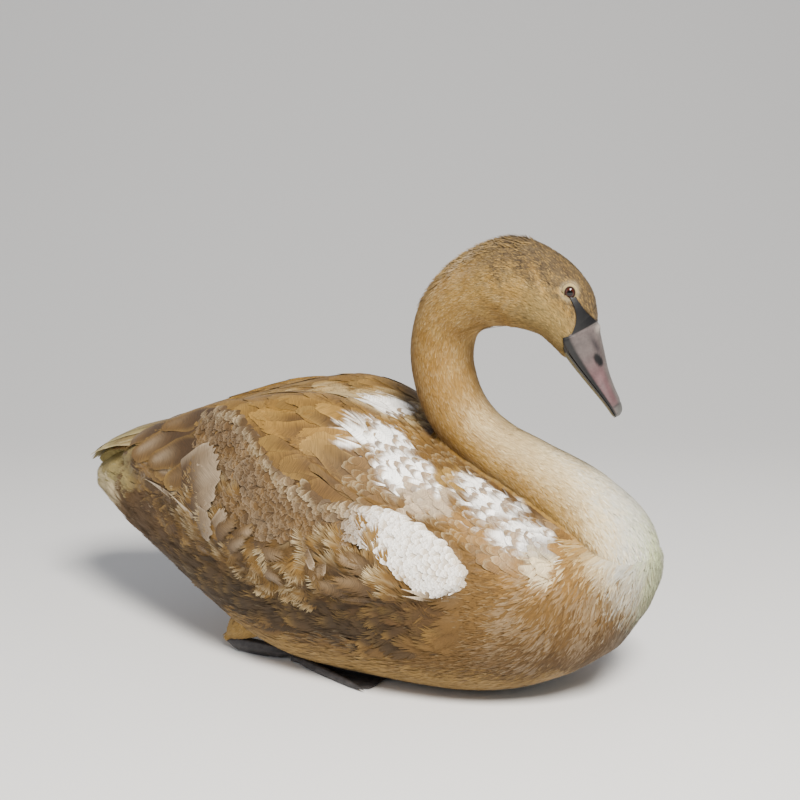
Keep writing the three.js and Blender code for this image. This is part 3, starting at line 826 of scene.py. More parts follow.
# %% Plush of the neck
def neck_paint(p, a, b, u, v, draw, root):
    """The neck's tone at a place near the feather's own, ochre or cream on some, with painted shade in the
    fold.
    """
    each = (len(p), 1, 1)
    t, round_ = u + draw.normal(0, 0.12, each), v + draw.normal(0, 6, each)
    colour = neck_colour(t, round_, shifted(p, draw, 3))
    colour = mix(colour, CREAM, 0.12 * (a > 0.6) * (chance(draw, p) > 0.7))
    colour = mix(colour, OCHRE, 0.5 * (chance(draw, p) > 0.65) * smooth(11, 9, u) * smooth(3, 5, u))
    # Painted shade: darker in the fold where the neck lies against the shoulder.
    fold = fold_shade(u[:, 0, 0], smooth(1.14, 1.0, trunk_depth(root)))
    colour = mix(colour, DUSK, per_feather(fold, a))
    return vary(colour, draw, 0.08)


NECK_STEPS = (0.02, 1.0)  # small steps along the spine and round it, for slopes


def down_the_neck(p, u, v):
    """Against the way the spine runs, so from head to breast."""
    return -spine_rows(u)[..., 3:6]


def clothe_neck(name, t_range, round_range, spacing, keep, length, width, make, paint, *, seeds, **finish):
    """A region of neck or head: places first, then feathers that lie down the spine."""
    u, v = roots(neck, t_range, round_range, spacing, seeds[0], keep, NECK_STEPS)
    length = length(u) if callable(length) else length
    plant(name, neck, u, v, down_the_neck, length, width, make, paint, neck_chart, seed=seeds[1],
          steps=NECK_STEPS, outward=1.0, material=DOWN, **finish)


def above_trunk(u, v, p):
    """True where the neck stands clear of the trunk."""
    return trunk_depth(p) > 0.97


clothe_neck("neck_plumes", (0.35, 10.7), (0, 360), 1.8, above_trunk, 13.0, 2.2, (3, 2), neck_paint,
            seeds=(21, 22), root=-1.3, tip=0.25, turn=9, slot="neck", point=0.8, soften=0.8,
            meet=neck_meets_breast)

# %% Short feathers of the head
# The bare lore's upper and lower edge, in mm above the head's middle at each place ahead of it
LORE_AHEAD = [4, 8, 13, 18, 24, 30, 34, 37, 38.3, 41, 45, 50]
LORE_TOP = [1.3, 2.0, 2.8, 3.4, 4.1, 5.6, 6.9, 8.0, 8.4, 8.8, 9, 9]
LORE_LOW = [-3.4, -3.2, -3.4, -4.2, -6.2, -10.2, -14.7, -18.5, -26.5, -28.0, -30.0, -31.5]
BARE_FROM = 37.0  # ahead of here the face is horn
CROWN_ENDS = 37.6  # ahead of here no feathers lie above it
EYE_RING = 5.9  # radius of the ring that feathers leave free round the eye


def bare(p, rim=0.0):
    """True on the bare lores and the base of the bill."""
    ahead, _, above = from_head(p)
    s = station(LORE_AHEAD, ahead)
    low, top = through(LORE_LOW, s), np.where(ahead > CROWN_ENDS, 40, through(LORE_TOP, s))
    return (ahead > LORE_AHEAD[0] - rim) & (above < top + rim) & (above > low - rim)


def over_eye(p):
    """True in the ring that is left free round an eye."""
    ahead, _, above = from_head(p)
    return np.hypot(ahead, above - EYE_ABOVE) < EYE_RING


def head_paint(p, a, b, u, v, draw, root):
    """The head's tone, cream round the eye, with dark and buff tips on some feathers."""
    colour = neck_colour(u + draw.normal(0, 0.1, (len(p), 1, 1)), v, shifted(p, draw, 1.5))
    ahead, _, above = from_head(p)
    ring = np.exp(-((np.hypot(ahead + 0.5, above + 1.0) - 7.6) / 1.8) ** 2)
    colour = mix(colour, CREAM, 0.24 * ring)
    fleck = smooth(0.62, 0.9, chance(draw, p))
    colour = mix(colour, CROWN_DARK, 0.42 * fleck * (a > 0.4) * (1 - ring))
    colour = mix(colour, BUFF, 0.4 * (chance(draw, p) > 0.75) * (a > 0.4))
    return vary(colour, draw, 0.12)


def head_keep(u, v, p):
    """True where the head is feathered."""
    return ~bare(p, 0.3) & ~over_eye(p)


def head_length(t):
    """From 9 mm on the nape to 5.5 mm on the face."""
    return 5.5 + 3.5 * smooth(12.4, 10.2, t)


clothe_neck("head_feathers", (10.2, 14.97), (0, 360), 1.2, head_keep, head_length, 1.3, (3, 2), head_paint,
            seeds=(31, 32), root=-0.9, tip=0.25, turn=9, slot="head", point=0.75, soften=0.75)


# %% Ragged tufts of the nape
def nape_keep(u, v, p):
    """Thick in clumps and thin between them."""
    draw = np.random.default_rng(35)
    return draw.uniform(0, 1, len(u)) < 0.25 + 0.75 * smooth(0.0, 0.8, mottle(p, 14, 36))


clothe_neck("nape_tufts", (8.6, 11.6), (48, 132), 2.0, nape_keep, 12.0, 1.5, (4, 2), head_paint,
            seeds=(33, 34), root=-1.2, tip=0.9, curl=0.13, turn=17, slot="head", point=0.85, soften=0.6,
            spread=0.4)


# %% Breast
def swept_back(p, u, v):
    """Rearwards, and down where the breast faces forward."""
    down = -1.6 * smooth(190, 300, u) + 0.12 * smooth(-150, -300, u)
    return direction(u, -1, 0, down)


def breast_paint(p, a, b, u, v, draw, root):
    """The trunk's tone, which turns into the neck's beside it, and darker at the front."""
    colour = trunk_colour(shifted(p, draw, 6, 3))
    t, round_, share = neck_place(root + draw.normal(0, 4, root.shape))
    beside = 0.85 * smooth(1.3, 1.02, share) * smooth(2.6, 1.6, t)
    colour = mix(colour, neck_colour(t, round_, root)[:, None, None], per_feather(beside, a))
    colour = mix(colour, CREAM, 0.12 * smooth(0.5, 1, a) * smooth(0.6, 1, chance(draw, p)))
    return vary(colour * (1 - 0.2 * smooth(270, 312, p[..., :1])), draw, 0.08)


def clothe(name, u_range, v_range, spacing, keep, lie, length, width, make, paint, *,
           seeds, stretch=1.0, **finish):
    """A region of the trunk on both sides, each with places of its own, spacing mm apart. Length
    and width are numbers, or functions of x."""
    left = roots(body, u_range, v_range, spacing, seeds[0], keep, stretch=stretch)
    right = roots(body, u_range, v_range, spacing, seeds[0] + 1, keep, stretch=stretch)
    u, v = np.concatenate([left, right], axis=1)
    side = np.repeat([1.0, -1.0], [len(left[0]), len(right[0])])
    length, width = (size(u) if callable(size) else size for size in (length, width))
    plant(name, body, u, v, lie, length, width, make, paint, trunk_chart, seed=seeds[1], side=side, **finish)


def wing_margin(u, v):
    """Degrees inside the wing's outline: negative outside it."""
    s = station(WING_X, u)
    inside = np.minimum(v - through(WING_LOW, s), through(WING_HIGH, s) - v)
    return np.where((u < WING_X[0] + 2) | (u > WING_X[-1] - 1), -20, inside)


def breast_keep(u, v, p):
    """True outside neck and wing: the lower trunk, and all of its front end."""
    return outside_neck(p) & (wing_margin(u, v) < 0) & ((v < 30) | (u > 235))


clothe("breast_feathers", (120, 300), (-90, 90), 2.9, breast_keep, swept_back, 18.0, 3.2, (4, 2),
       breast_paint, seeds=(41, 43), root=-1.5, tip=0.15, turn=12, material=DOWN, point=0.88, soften=0.85,
       meet=neck_meets_breast)


# %% The breast seen from ahead
FRONT_RANGE = (200.0, 326.0)  # x between which its surface is looked for
FRONT_STEP = 0.7  # mm either side, for its slopes


def breast_front(y, z, out=0.0):
    """The trunk seen from ahead, for its nose, where the degrees of all sections meet: for a place
    across and up, the x at which the section has shrunk to it, found by halving a range."""
    def reach(y, z):
        """The x at which the section has shrunk to (y, z)."""
        low, high = (np.full(np.shape(y), end) for end in FRONT_RANGE)
        for _ in range(24):
            x = (low + high) / 2
            belly, back, half, widest = section(x)
            rise = np.where(z > widest, back - widest, widest - belly)
            inside = (np.abs(y / half) ** SECTION_POWER + np.abs((z - widest) / rise) ** SECTION_POWER) < 1
            low, high = np.where(inside, x, low), np.where(inside, high, x)
        return low
    y, z = y + 0 * z, z + 0 * y
    x = reach(y, z)
    slope_y = (reach(y + FRONT_STEP, z) - reach(y - FRONT_STEP, z)) / (2 * FRONT_STEP)
    slope_z = (reach(y, z + FRONT_STEP) - reach(y, z - FRONT_STEP)) / (2 * FRONT_STEP)
    facing = unit(np.stack([np.ones(x.shape), -slope_y, -slope_z], -1))
    return np.stack([x, y, z], -1) + facing * np.asarray(out)[..., None]


def front_chart(u, v, side):
    """The breast seen from ahead."""
    return 0.9 + 0.0008 * u, 0.3 + 0.0008 * v


FRONT_FROM = 287  # ahead of here the breast is seen from the front


def front_keep(u, v, p):
    """True on the trunk's nose, outside the neck."""
    return (p[:, 0] > FRONT_FROM) & outside_neck(p, 0.97)


def down_the_breast(p, u, v):
    """Back, and more steeply down."""
    return direction(u, -1, 0, -1.6)


u, v = roots(breast_front, (-68, 68), (66, 186), 2.8, 44, front_keep)
plant("breast_front_feathers", breast_front, u, v, down_the_breast, 16.0, 3.0, (4, 2), breast_paint,
      front_chart, seed=46, root=-1.5, tip=0.15, turn=11, outward=1.0, material=DOWN, point=0.88,
      soften=0.85, meet=neck_meets_breast)


# %% Belly and undertail
def below_wing(u, v, p):
    """True below the wing, and a little under its edge."""
    return wing_margin(u, v) < 3


PAST_TAIL = -352  # x just behind the tail


def behind(x):
    """Millimetres from x back to there: feathers near the tail stay shorter than that."""
    return x - PAST_TAIL


clothe("belly_feathers", (-300, 124), (-90, -14), 4.4, None, swept_back, 25.0, 4.8, (4, 2), breast_paint,
       seeds=(45, 47), root=-1.7, tip=0.25, turn=12, material=DOWN, point=0.85, soften=0.85)
clothe("undertail_feathers", (-336, -120), (-40, 44), 13.0, below_wing, swept_back,
       lambda x: np.clip(0.9 * behind(x), 14, 60), lambda x: np.clip(0.5 * behind(x), 9, 33), 62,
       breast_paint, seeds=(48, 49), root=-1.7, tip=1.4, turn=15, curl=0.02, sweep=0.08, fluff=0.35,
       material=DOWN, soften=0.85)

# %% Thighs, where the tucked legs leave the belly
THIGH_TOP, THIGH_END = np.array([-62.0, 54, 78]), np.array([-137.0, 55, 15])
THIGH_RADIUS = (36, 14)  # at the top and the end
THIGH_STEPS = (0.005, 1.0)
THIGH_AXIS = unit(THIGH_END - THIGH_TOP)
THIGH_SIDE = unit(np.array([-THIGH_AXIS[1], THIGH_AXIS[0], 0]))
THIGH_UP = np.cross(THIGH_AXIS, THIGH_SIDE)


def thigh(t, round_, out=0.0):
    """Circles along a slanting axis, narrower towards its lower end and rounded off there."""
    top, end = THIGH_RADIUS
    radius = (top + (end - top) * t) * np.sin(np.pi * np.clip(t, 0.02, 0.985)) ** 0.35 + out
    turn = np.radians(round_)
    centre = THIGH_TOP + (THIGH_END - THIGH_TOP) * (t + 0 * turn)[..., None]
    sideways, upwards = (radius * np.cos(turn))[..., None], (radius * np.sin(turn))[..., None]
    return centre + sideways * THIGH_SIDE + upwards * THIGH_UP


def thigh_chart(u, v, side):
    """Along the thigh and round it, laid out as the trunk's map is."""
    return trunk_chart(THIGH_TOP[0] + (THIGH_END - THIGH_TOP)[0] * u, 0.5 * v, side)


def thigh_keep(u, v, p):
    """True outside the trunk and clear of the floor."""
    return (trunk_depth(p) > 0.94) & (p[:, 2] > 4)


u, v = roots(thigh, (0.35, 0.975), (0, 360), 2.6, 56, thigh_keep, THIGH_STEPS)
side = np.repeat([1.0, -1.0], len(u))
plant("thigh_feathers", thigh, np.tile(u, 2), np.tile(v, 2), lambda p, u, v: THIGH_AXIS + 0 * p, 12.0, 4.0,
      (4, 2), breast_paint, thigh_chart, seed=58, side=side, root=-1.2, tip=0.4, steps=THIGH_STEPS, turn=12,
      material=DOWN, point=0.8, soften=0.7)


# %% Shaggy flank
def flank_paint(p, a, b, u, v, draw, root):
    """The trunk's tone, with dark bars below the wrist and buff tips on some feathers."""
    colour = trunk_colour(shifted(p, draw, 7, 6))
    x = root[:, 0]
    bars = smooth(0.2, 0.7, mottle(root, 26, 54) * smooth(60, 100, x) * smooth(170, 140, x))
    colour = mix(colour, UMBER, per_feather(0.75 * bars, a))
    tip = smooth(0.72, 1, a) * chance(draw, p)
    colour = mix(colour, BUFF, 0.45 * tip)
    return vary(colour, draw, 0.12)


def flank_lie(p, u, v):
    """Back, and up or down by turns."""
    return direction(u, -1, 0, -0.1 + 0.35 * mottle(p, 60, 55))


clothe("flank_feathers", (-185, 185), (-18, 9), 10.6, below_wing, flank_lie, 54.0, 27.0, 50, flank_paint,
       seeds=(51, 53), root=-1.7, tip=1.7, turn=14, sweep=0.12, curl=0.02, fluff=0.35, material=DOWN,
       soften=0.85)


# %% Scapulars
def scapular_paint(p, a, b, u, v, draw, root):
    """The trunk's tone: brown feathers get a dark middle and a buff rim, white ones don't."""
    colour = trunk_colour(shifted(root[:, None, None] * 0.1 + p * 0.9, draw, 3, 10))
    brown = smooth(0.35, 0.15, colour[..., 2])
    middle = smooth(0.9, 0.2, np.abs(b)) * smooth(0.95, 0.6, a) * chance(draw, p)
    colour = mix(colour, DUSK, brown * (0.2 + 0.6 * middle))
    colour = mix(colour, BUFF, 0.55 * brown * smooth(0.6, 1, np.maximum(a, np.abs(b))) * chance(draw, p))
    return vary(colour, draw, 0.13)


def over_back(p, u, v):
    """Back, and a little out to the sides."""
    return direction(u, -1, -0.10 * np.sign(90 - v), 0.04)


MANTLE_X = [-230, -90, -30, 35, 85, 126, 165, 177]
MANTLE_EDGE = [60, 56, 42, 33, 36, 38, 30, 24]  # degrees up, where scapulars and mantle end


def scapular_zone(u, v, p):
    """True above the line where scapulars and mantle end, outside the neck."""
    return outside_neck(p, 1.0) & (v > np.interp(u, MANTLE_X, MANTLE_EDGE))


clothe("scapular_feathers", (-235, 90), (30, 96), 12.5, scapular_zone, over_back, 98.0, 30.0, (12, 13),
       scapular_paint, seeds=(61, 63), stretch=2.6, root=-1.9, tip=0.9, turn=5, sweep=0.05, jag=0.04,
       cup=0.01, material=VANE, point=0.5)


# %% Mantle
def mantle_paint(p, a, b, u, v, draw, root):
    """The trunk's tone: white feathers get a brown tip, brown ones a cream one, and those beside the
    neck are darker with painted shade from the fold."""
    colour = trunk_colour(shifted(p, draw, 4, 3))
    light = smooth(0.2, 0.5, colour[..., 2])
    spot = smooth(0.74, 0.84, a - 0.06 * np.abs(b)) * (chance(draw, p) > 0.35)
    colour = mix(colour, mix(GOLD, BROWN, chance(draw, p)), 0.85 * spot * light)
    colour = mix(colour, CREAM, 0.3 * (1 - light) * smooth(0.85, 1, a) * chance(draw, p))
    # Painted shade in the fold beside the neck.
    t, _, share = neck_place(root)
    colour = mix(colour, DUSK, per_feather(fold_shade(t, smooth(1.24, 1.06, share)), a))
    return vary(colour, draw, 0.08)


def mantle_keep(u, v, p):
    """The same zone, kept clear of the neck."""
    return scapular_zone(u, v, p) & (v > 26) & outside_neck(p, 1.05)


clothe("mantle_feathers", (66, 262), (22, 92), 7.5, mantle_keep, over_back, 31.0, 14.0, (7, 7), mantle_paint,
       seeds=(65, 67), stretch=1.4, root=-1.6, tip=1.0, turn=9, jag=0.05, cup=0.02, material=VANE,
       point=0.4, soften=0.7)

# %% Folded wing: broad rear feathers
# The band of small coverts along forearm and wrist: its edges in degrees up at each x
BAND_X = [-135, -91, -65, -33, 0, 35, 82, 100, 118, 140, 160, 176]
BAND_HIGH = [58, 53, 47, 39, 31, 30, 34, 35, 36, 34, 30, 22]
BAND_LOW = [27, 16, 15, 13, 15, 17, 23, 19, 13, 8, 8, 13]


def in_band(u, v, p=None):
    """True on that band."""
    inside = (v > np.interp(u, BAND_X, BAND_LOW)) & (v < np.interp(u, BAND_X, BAND_HIGH))
    return inside & (u > BAND_X[0] - 5) & (u < BAND_X[-1] + 1)


def wing_paint(p, a, b, u, v, draw, root):
    """Dusky brown with golden sides, a pale bloom before the tip, and olive towards the tail."""
    colour = mix(DUSK, BROWN, cloudy(root, a, 0.4, 60, 71))
    colour = mix(colour, GOLD, 0.45 * smooth(0.5, 1, np.abs(b)) * smooth(0.1, 0.5, a))
    pale = np.exp(-((b / 0.4) ** 2)) * smooth(0.35, 0.7, a) * smooth(0.95, 0.8, a)
    colour = mix(colour, PALE_PINK, 0.36 * pale * smooth(0.35, 0.9, chance(draw, p)))
    colour = mix(colour, BUFF, 0.6 * smooth(0.85, 1, a) * chance(draw, p))
    colour = mix(colour, OLIVE, 0.7 * smooth(-235, -285, p[..., 0]))
    return vary(colour, draw, 0.1)


def wing_lie(p, u, v):
    """Back and a little down."""
    return direction(u, -1, 0, -0.22 + 0.2 * mottle(p, 90, 72))


def rear_wing_keep(u, v, p):
    """True on the wing outside the band of small coverts."""
    return (wing_margin(u, v) > 1) & ~in_band(u - 5, v)


clothe("rear_wing_feathers", (-284, -80), (4, 74), 13.0, rear_wing_keep, wing_lie,
       lambda x: np.minimum(0.9 * behind(x), 78), 32.0, (11, 13), wing_paint, seeds=(73, 75), stretch=1.7,
       root=-1.9, tip=1.6, turn=8, sweep=0.06, jag=0.06, cup=0.02, slot="wing", material=VANE, point=0.35)


# %% Forearm and wrist
def forearm_paint(p, a, b, u, v, draw, root):
    """Pinkish brown with pale rims; white, shell-like feathers on the wrist."""
    colour = mix(PINKISH, BROWN, cloudy(root, a, 0.4, 34, 77))
    x, up = u[:, :1, :1], v[:, :1, :1]
    rim = smooth(6, 1, np.interp(x, BAND_X, BAND_HIGH) - up)
    fore = smooth(55, 105, x) * smooth(14 - 0.12 * (x - 60), 19 - 0.12 * (x - 60), up)
    # Darker towards each covert's root: partly its own dusky base, partly painted shade under the covert
    # that overlaps it.
    colour = mix(colour, DUSK, 0.45 * smooth(0.95, 0.5, a))
    dusty = 0.1 * smooth(0.3, 0.9, mottle(root, 18, 79))
    colour = mix(colour, PALE_PINK, 0.16 * smooth(0.8, 1, a) + per_feather(dusty, a))
    colour = mix(colour, CREAM, 0.34 * rim * smooth(0.6, 1, a) * (0.2 + 0.8 * chance(draw, p)))
    rear = 0.4 * smooth(110, 60, x) + 0.5 * smooth(16, 9, up) * smooth(150, 120, x)
    # Wrist feathers turn pale pink towards the root: partly their own tint, partly painted shade under the
    # feather that overlaps it; the rear and lower ones are pinker all over.
    shell = mix(WHITE, PALE_PINK, 0.2 + 0.65 * smooth(0.97, 0.6, a) + rear)
    return mix(vary(colour, draw, 0.13), vary(shell, draw, 0.05), fore + 0 * a)


def forearm_lie(p, u, v):
    """Down and back on the forearm, straight back on the wrist."""
    fore = smooth(30, 120, u)
    return direction(u, -0.8 - 0.4 * fore, 0, -0.6 + 0.5 * fore + 0.35 * mottle(p, 40, 78))


clothe("forearm_coverts", (-140, 95), (8, 62), 5.2, in_band, forearm_lie, 16.0, 10.5, (5, 7),
       forearm_paint, seeds=(81, 83), root=0.0, tip=2.0, turn=19, jag=0.2, cup=0.02, curl=0.01, slot="wing",
       material=VANE, soften=0.8)
clothe("wrist_feathers", (70, 177), (5, 38), 4.6, in_band, forearm_lie, 12.0, 8.0, (5, 5), forearm_paint,
       seeds=(85, 87), root=0.2, tip=2.4, turn=8, jag=0.05, cup=0.09, slot="wing", material=VANE,
       soften=0.35)


# %% Loose coverts below them
def covert_paint(p, a, b, u, v, draw, root):
    """Brown with golden ends and frayed cream tips."""
    colour = mix(FAN, BROWN, cloudy(root, a, 0.5, 35, 89))
    colour = mix(colour, GOLD, 0.55 * smooth(0.55, 0.85, a))
    frayed = 0.75 * smooth(0.74, 1, a) * smooth(0.1, 1, chance(draw, p))
    colour = mix(colour, CREAM, frayed + 0.15 * smooth(0.15, 0, np.abs(b)))
    return vary(colour, draw, 0.1)


def covert_lie(p, u, v):
    """Back, with tufts that turn up or down."""
    return direction(u, -0.85, 0, -0.35 + 0.9 * mottle(p, 80, 97))


def covert_keep(u, v, p):
    """True on the wing outside the band: a little into it behind, clear of it under the wrist."""
    return ~in_band(u, v - 2 + 7 * smooth(20, 60, u)) & (wing_margin(u, v) > -1)


clothe("loose_coverts", (-140, 150), (1, 24), 12.0, covert_keep, covert_lie, 48.0, 31.0, 60, covert_paint,
       seeds=(91, 93), root=-1.6, tip=2.4, turn=14, sweep=0.12, cup=0.03, curl=0.03, fluff=0.4, slot="wing",
       material=DOWN, soften=0.8)

# %% [markdown]
# ## Feathers that can be told apart
# A few large feathers give the wing its drawing: ruffled fans under the forearm, pale ones behind
# it, the thin curved alula. Each is named by where it roots and where its tip lies.

# %% Single feathers, from root to tip in (x, degrees up) and width
SINGLE = {
    "fan": [(108, 4, 45, 6, 26), (110, 7, 50, 13, 26), (104, 9, 58, 15, 24), (104, 1, 52, 1, 22),
            (-75, 7, -6, 8, 30), (-72, 4, -13, 2, 26), (-128, 2, -68, 15, 30), (-117, 0, -57, 12, 28),
            (-100, 4, -45, 14, 26), (0, 14, 30, 3, 20), (45, 14, 24, 4, 20), (88, 3, 26, 3, 26)],
    "pale": [(-176, 16, -108, 35, 58), (-170, 12, -100, 25, 50), (-158, 9, -110, 14, 36),
             (-128, 2, -84, 17, 18), (4, 15, 22, 7, 9), (34, 13, 34, 6, 8)],
    "broad": [(-150, 50, -250, 35, 46), (-134, 42, -216, 26, 42), (-131, 56, -210, 52, 36),
              (-120, 34, -188, 20, 36), (-200, 60, -275, 48, 34)],
    "edge": [(-104, 5, -176, 17, 7), (-150, 12, -228, 27, 6), (166, 7, 119, 7.5, 6), (160, 5, 118, 5.5, 5)],
}
TONES = {"fan": (FAN, BROWN, BUFF), "pale": (DUSK, ink("75624a"), PALE_PINK), "broad": (DUSK, BROWN, BUFF),
         "edge": (PINKISH, PALE_PINK, CREAM)}
FINISH = {
    "fan": dict(make=120, root=-1.6, tip=5.6, point=0, jag=0.03),
    "pale": dict(make=(14, 27), root=0.6, tip=3.4, point=0, jag=0.09),
    "broad": dict(make=(14, 21), root=0.6, tip=2.2, point=0.3, jag=0.03),
    "edge": dict(make=(14, 5), root=0.6, tip=3.0, point=0.9, jag=0.03),
}


def single_paint(tones):
    """The painter of one kind: its root's tone, its vane's and its worn rim's."""
    def paint(p, a, b, u, v, draw, root):
        """From the root's tone to the vane's, with a pale bloom before the tip and a worn rim."""
        # Darker at the root: partly the feather's own dusky base, partly painted shade under the feathers
        # that lie over it.
        colour = mix(tones[0], tones[1], smooth(0.3, 0.85, a))
        bloom = np.exp(-(((b - 0.2) / 0.45) ** 2)) * smooth(0.4, 0.75, a) * smooth(0.98, 0.85, a)
        colour = mix(colour, PALE_PINK, 0.35 * bloom * chance(draw, p))
        worn = 0.7 * smooth(0.82, 1.05, a) * chance(draw, p)
        colour = mix(colour, tones[2], worn + 0.25 * smooth(0.6, 1, np.abs(b)))
        return vary(colour, draw, 0.06)

    return paint


def towards(x, up):
    """Points every feather at its own tip."""
    end = body(x, up)
    return lambda p, u, v: end - p


for number, (kind, rows) in enumerate(SINGLE.items()):
    x, up, tip_x, tip_up, width = np.array(rows + rows, float).T
    side = np.repeat([1.0, -1.0], len(rows))
    length = 1.05 * np.linalg.norm(body(tip_x, tip_up) - body(x, up), axis=-1)  # longer, as it bends
    plant(kind + "_feathers", body, x, up, towards(tip_x, tip_up), length, width,
          colour=single_paint(TONES[kind]), chart=trunk_chart, seed=120 + number, side=side, turn=3,
          sweep=0.06, cup=0.04, curl=0.02, fluff=0.5, slot="wing", material=VANE, spread=0.04,
          soften=0.55, **FINISH[kind])

# %% Tail
TAIL_X = [-346, -341, -330, -312, -285, -250, -215]
TAIL = {
    "half": [5, 14, 27, 41, 49, 45, 34],
    "top": [178, 183, 195, 210, 224, 236, 244],
    "thick": [2, 3, 4.5, 6, 9, 11, 11],
}


TAIL_HALF, TAIL_ARCH = 50, 8  # mm from the middle to the side, and how much lower the side is


def tail(x, y, out=0.0):
    """A sheet over the tail's upper face, arched so that the outer feathers hang lower."""
    s = station(TAIL_X, x)
    top, thick = through(TAIL["top"], s), through(TAIL["thick"], s)
    w = np.clip(y / TAIL_HALF, -1, 1)
    z = top - TAIL_ARCH * w * w * smooth(-346, -300, x) + thick * (np.sqrt(1 - w * w) - 1) + out
    return np.stack([x + 0 * y, y + 0 * x, z], -1)


def tail_paint(p, a, b, u, v, draw, root):
    """Olive with cream edges and a dark quill, and brown at the root."""
    colour = mix(OLIVE, BROWN, 0.7 * chance(draw, p) * smooth(1.0, 0.6, a))
    colour = mix(colour, CREAM, 0.35 * smooth(0.6, 1, np.abs(b)) + 0.3 * smooth(0.9, 1, a))
    colour = mix(colour, DUSK, 0.5 * np.exp(-((b / 0.1) ** 2)) * smooth(1, 0.7, a))
    colour = mix(colour, BROWN, 0.85 * smooth(0.46, 0.16, a - 0.08 * b * b))
    return vary(colour, draw, 0.08)


def tail_chart(u, v, side):
    """The tail seen from above."""
    return 0.02 + 0.96 * (u + 350) / 140, 0.3 + 0.3 * (v + 50) / 100


def splayed(p, u, v):
    """Back, and outwards in a narrow fan."""
    return direction(u, -1, 0.003 * v, 0)


QUILLS = np.linspace(-40, 40, 20)  # mm from the middle
for number, picked in enumerate(np.argsort(-np.abs(QUILLS)).reshape(4, 5)):  # four layers, outermost first
    quill = QUILLS[picked]
    root_x = -214 - 0.4 * np.abs(quill)
    tip_x = np.interp(np.abs(quill), TAIL["half"][:5], TAIL_X[:5])
    plant("tail_feathers_%d" % number, tail, root_x, quill, splayed, root_x - tip_x, 22.0, (14, 9),
          tail_paint, tail_chart, seed=101 + number, root=-4.0 + 0.6 * number, tip=1.2 + 0.7 * number,
          turn=2.5, outward=1.0, cup=0.02, jag=0.05, material=VANE, spread=0.03, point=0.25)

# %% [markdown]
# ## Eyes, lores and bill
# These are bare, so they stay hard and smooth next to the coat. The face between the feathers and
# the horn is one dense sheet on the head's own surface; only its bare cells are kept.


# %% Faces of a grid, and the finish of a hard piece
def grid_faces(rows, cols, closed=False, capped=False):
    """Quads of a grid, wrapped round if it is closed. Capped, the first and last rings (of an even
    count) are each closed by a row of quads that run straight across."""
    i = np.arange(rows - 1)[:, None] * cols
    j = np.arange(cols if closed else cols - 1)[None]
    k = (j + 1) % cols
    faces = np.stack([i + j, i + k, i + cols + k, i + cols + j], -1).reshape(-1, 4)
    if not capped:
        return faces
    m = np.arange(cols // 2 - 1)
    across = np.stack([m, m + 1, cols - 2 - m, cols - 1 - m], -1)
    return np.concatenate([faces, across[:, ::-1], across + (rows - 1) * cols])


def finish_piece(made, material, slot, *nodes):
    """Material, body and the solids that a piece stands for, which it hides; its slot is not used."""
    made.data.materials.append(material)
    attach(made, "root")
    if nodes:
        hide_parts(*nodes)


print("a tube of 3 rings of 4 points has", len(grid_faces(3, 4, True, True)), "quads with its two ends")

# %% Eyes
EYE_OUT = 16.2  # mm from the middle of the head to the middle of an eye
EYE_RADIUS = 7.0


def eye_axes(sign):
    """Centre of an eye and its facing, side and up directions."""
    centre = in_head(np.array(0.0), np.array(sign * EYE_OUT), np.array(EYE_ABOVE))
    facing = unit(sign * HEAD_LEFT + 0.16 * HEAD_AHEAD + 0.05 * HEAD_ABOVE)
    side = unit(np.cross(facing, HEAD_ABOVE))
    return centre, facing, side, np.cross(side, facing)


def cap(sign, polar, turn, radius):
    """Points on a ball about the eye: polar from the middle of the pupil, turn round it."""
    centre, facing, side, up = eye_axes(sign)
    forward, spread = (radius * np.cos(polar))[..., None], radius * np.sin(polar)
    return (centre + forward * facing + (spread * np.cos(turn))[..., None] * side
            + (spread * np.sin(turn))[..., None] * up)


BALL_RINGS, LID_RINGS, ROUND = 30, 12, 40  # cells of the grids
polar = np.linspace(0.03, np.pi - 0.03, BALL_RINGS)[:, None]
turn = np.linspace(0, 2 * np.pi, ROUND, endpoint=False)[None]
bulge = EYE_RADIUS + 0.25 * np.exp(-((polar / 0.5) ** 2))
iris = mix(ink("050303"), ink("35150a"), smooth(0.40, 0.46, polar) * smooth(0.95, 0.8, polar))
ring = np.linspace(0, 1, LID_RINGS)[:, None]
lid_polar = (0.70 + 0.66 * ring) * (1 + 0.10 * np.cos(2 * (turn - 0.5)))
lid_out = EYE_RADIUS + 0.35 + 0.45 * np.sin(np.pi * np.minimum(ring * 1.5, 1)) + 0.5 * ring ** 2
lid_tone = mix(ink("120d0b"), mix(CREAM, CHEEK, 0.8), smooth(0.12, 0.3, ring))
for word, sign in (("left", 1), ("right", -1)):
    ball = cap(sign, polar + 0 * turn, turn + 0 * polar, bulge + 0 * turn)
    eye = put_mesh("eyeball_" + word, ball, grid_faces(BALL_RINGS, ROUND, True, True),
                   np.broadcast_to(iris, (BALL_RINGS, ROUND, 3)))
    finish_piece(eye, EYE, "eye", "eye_" + word)
    rims = cap(sign, lid_polar, turn + 0 * ring, lid_out + 0 * turn)
    lids = put_mesh("lids_" + word, rims, grid_faces(LID_RINGS, ROUND, True),
                    np.broadcast_to(lid_tone, (LID_RINGS, ROUND, 3)))
    finish_piece(lids, SKIN, "head")
print("two eyes of", 2 * EYE_RADIUS, "mm, with lids")

# %% The bare face
CUFF_LENGTH = 4.2  # mm ahead of the head's front end
CUFF_DRAWN = 0.36  # share by which the cuff narrows


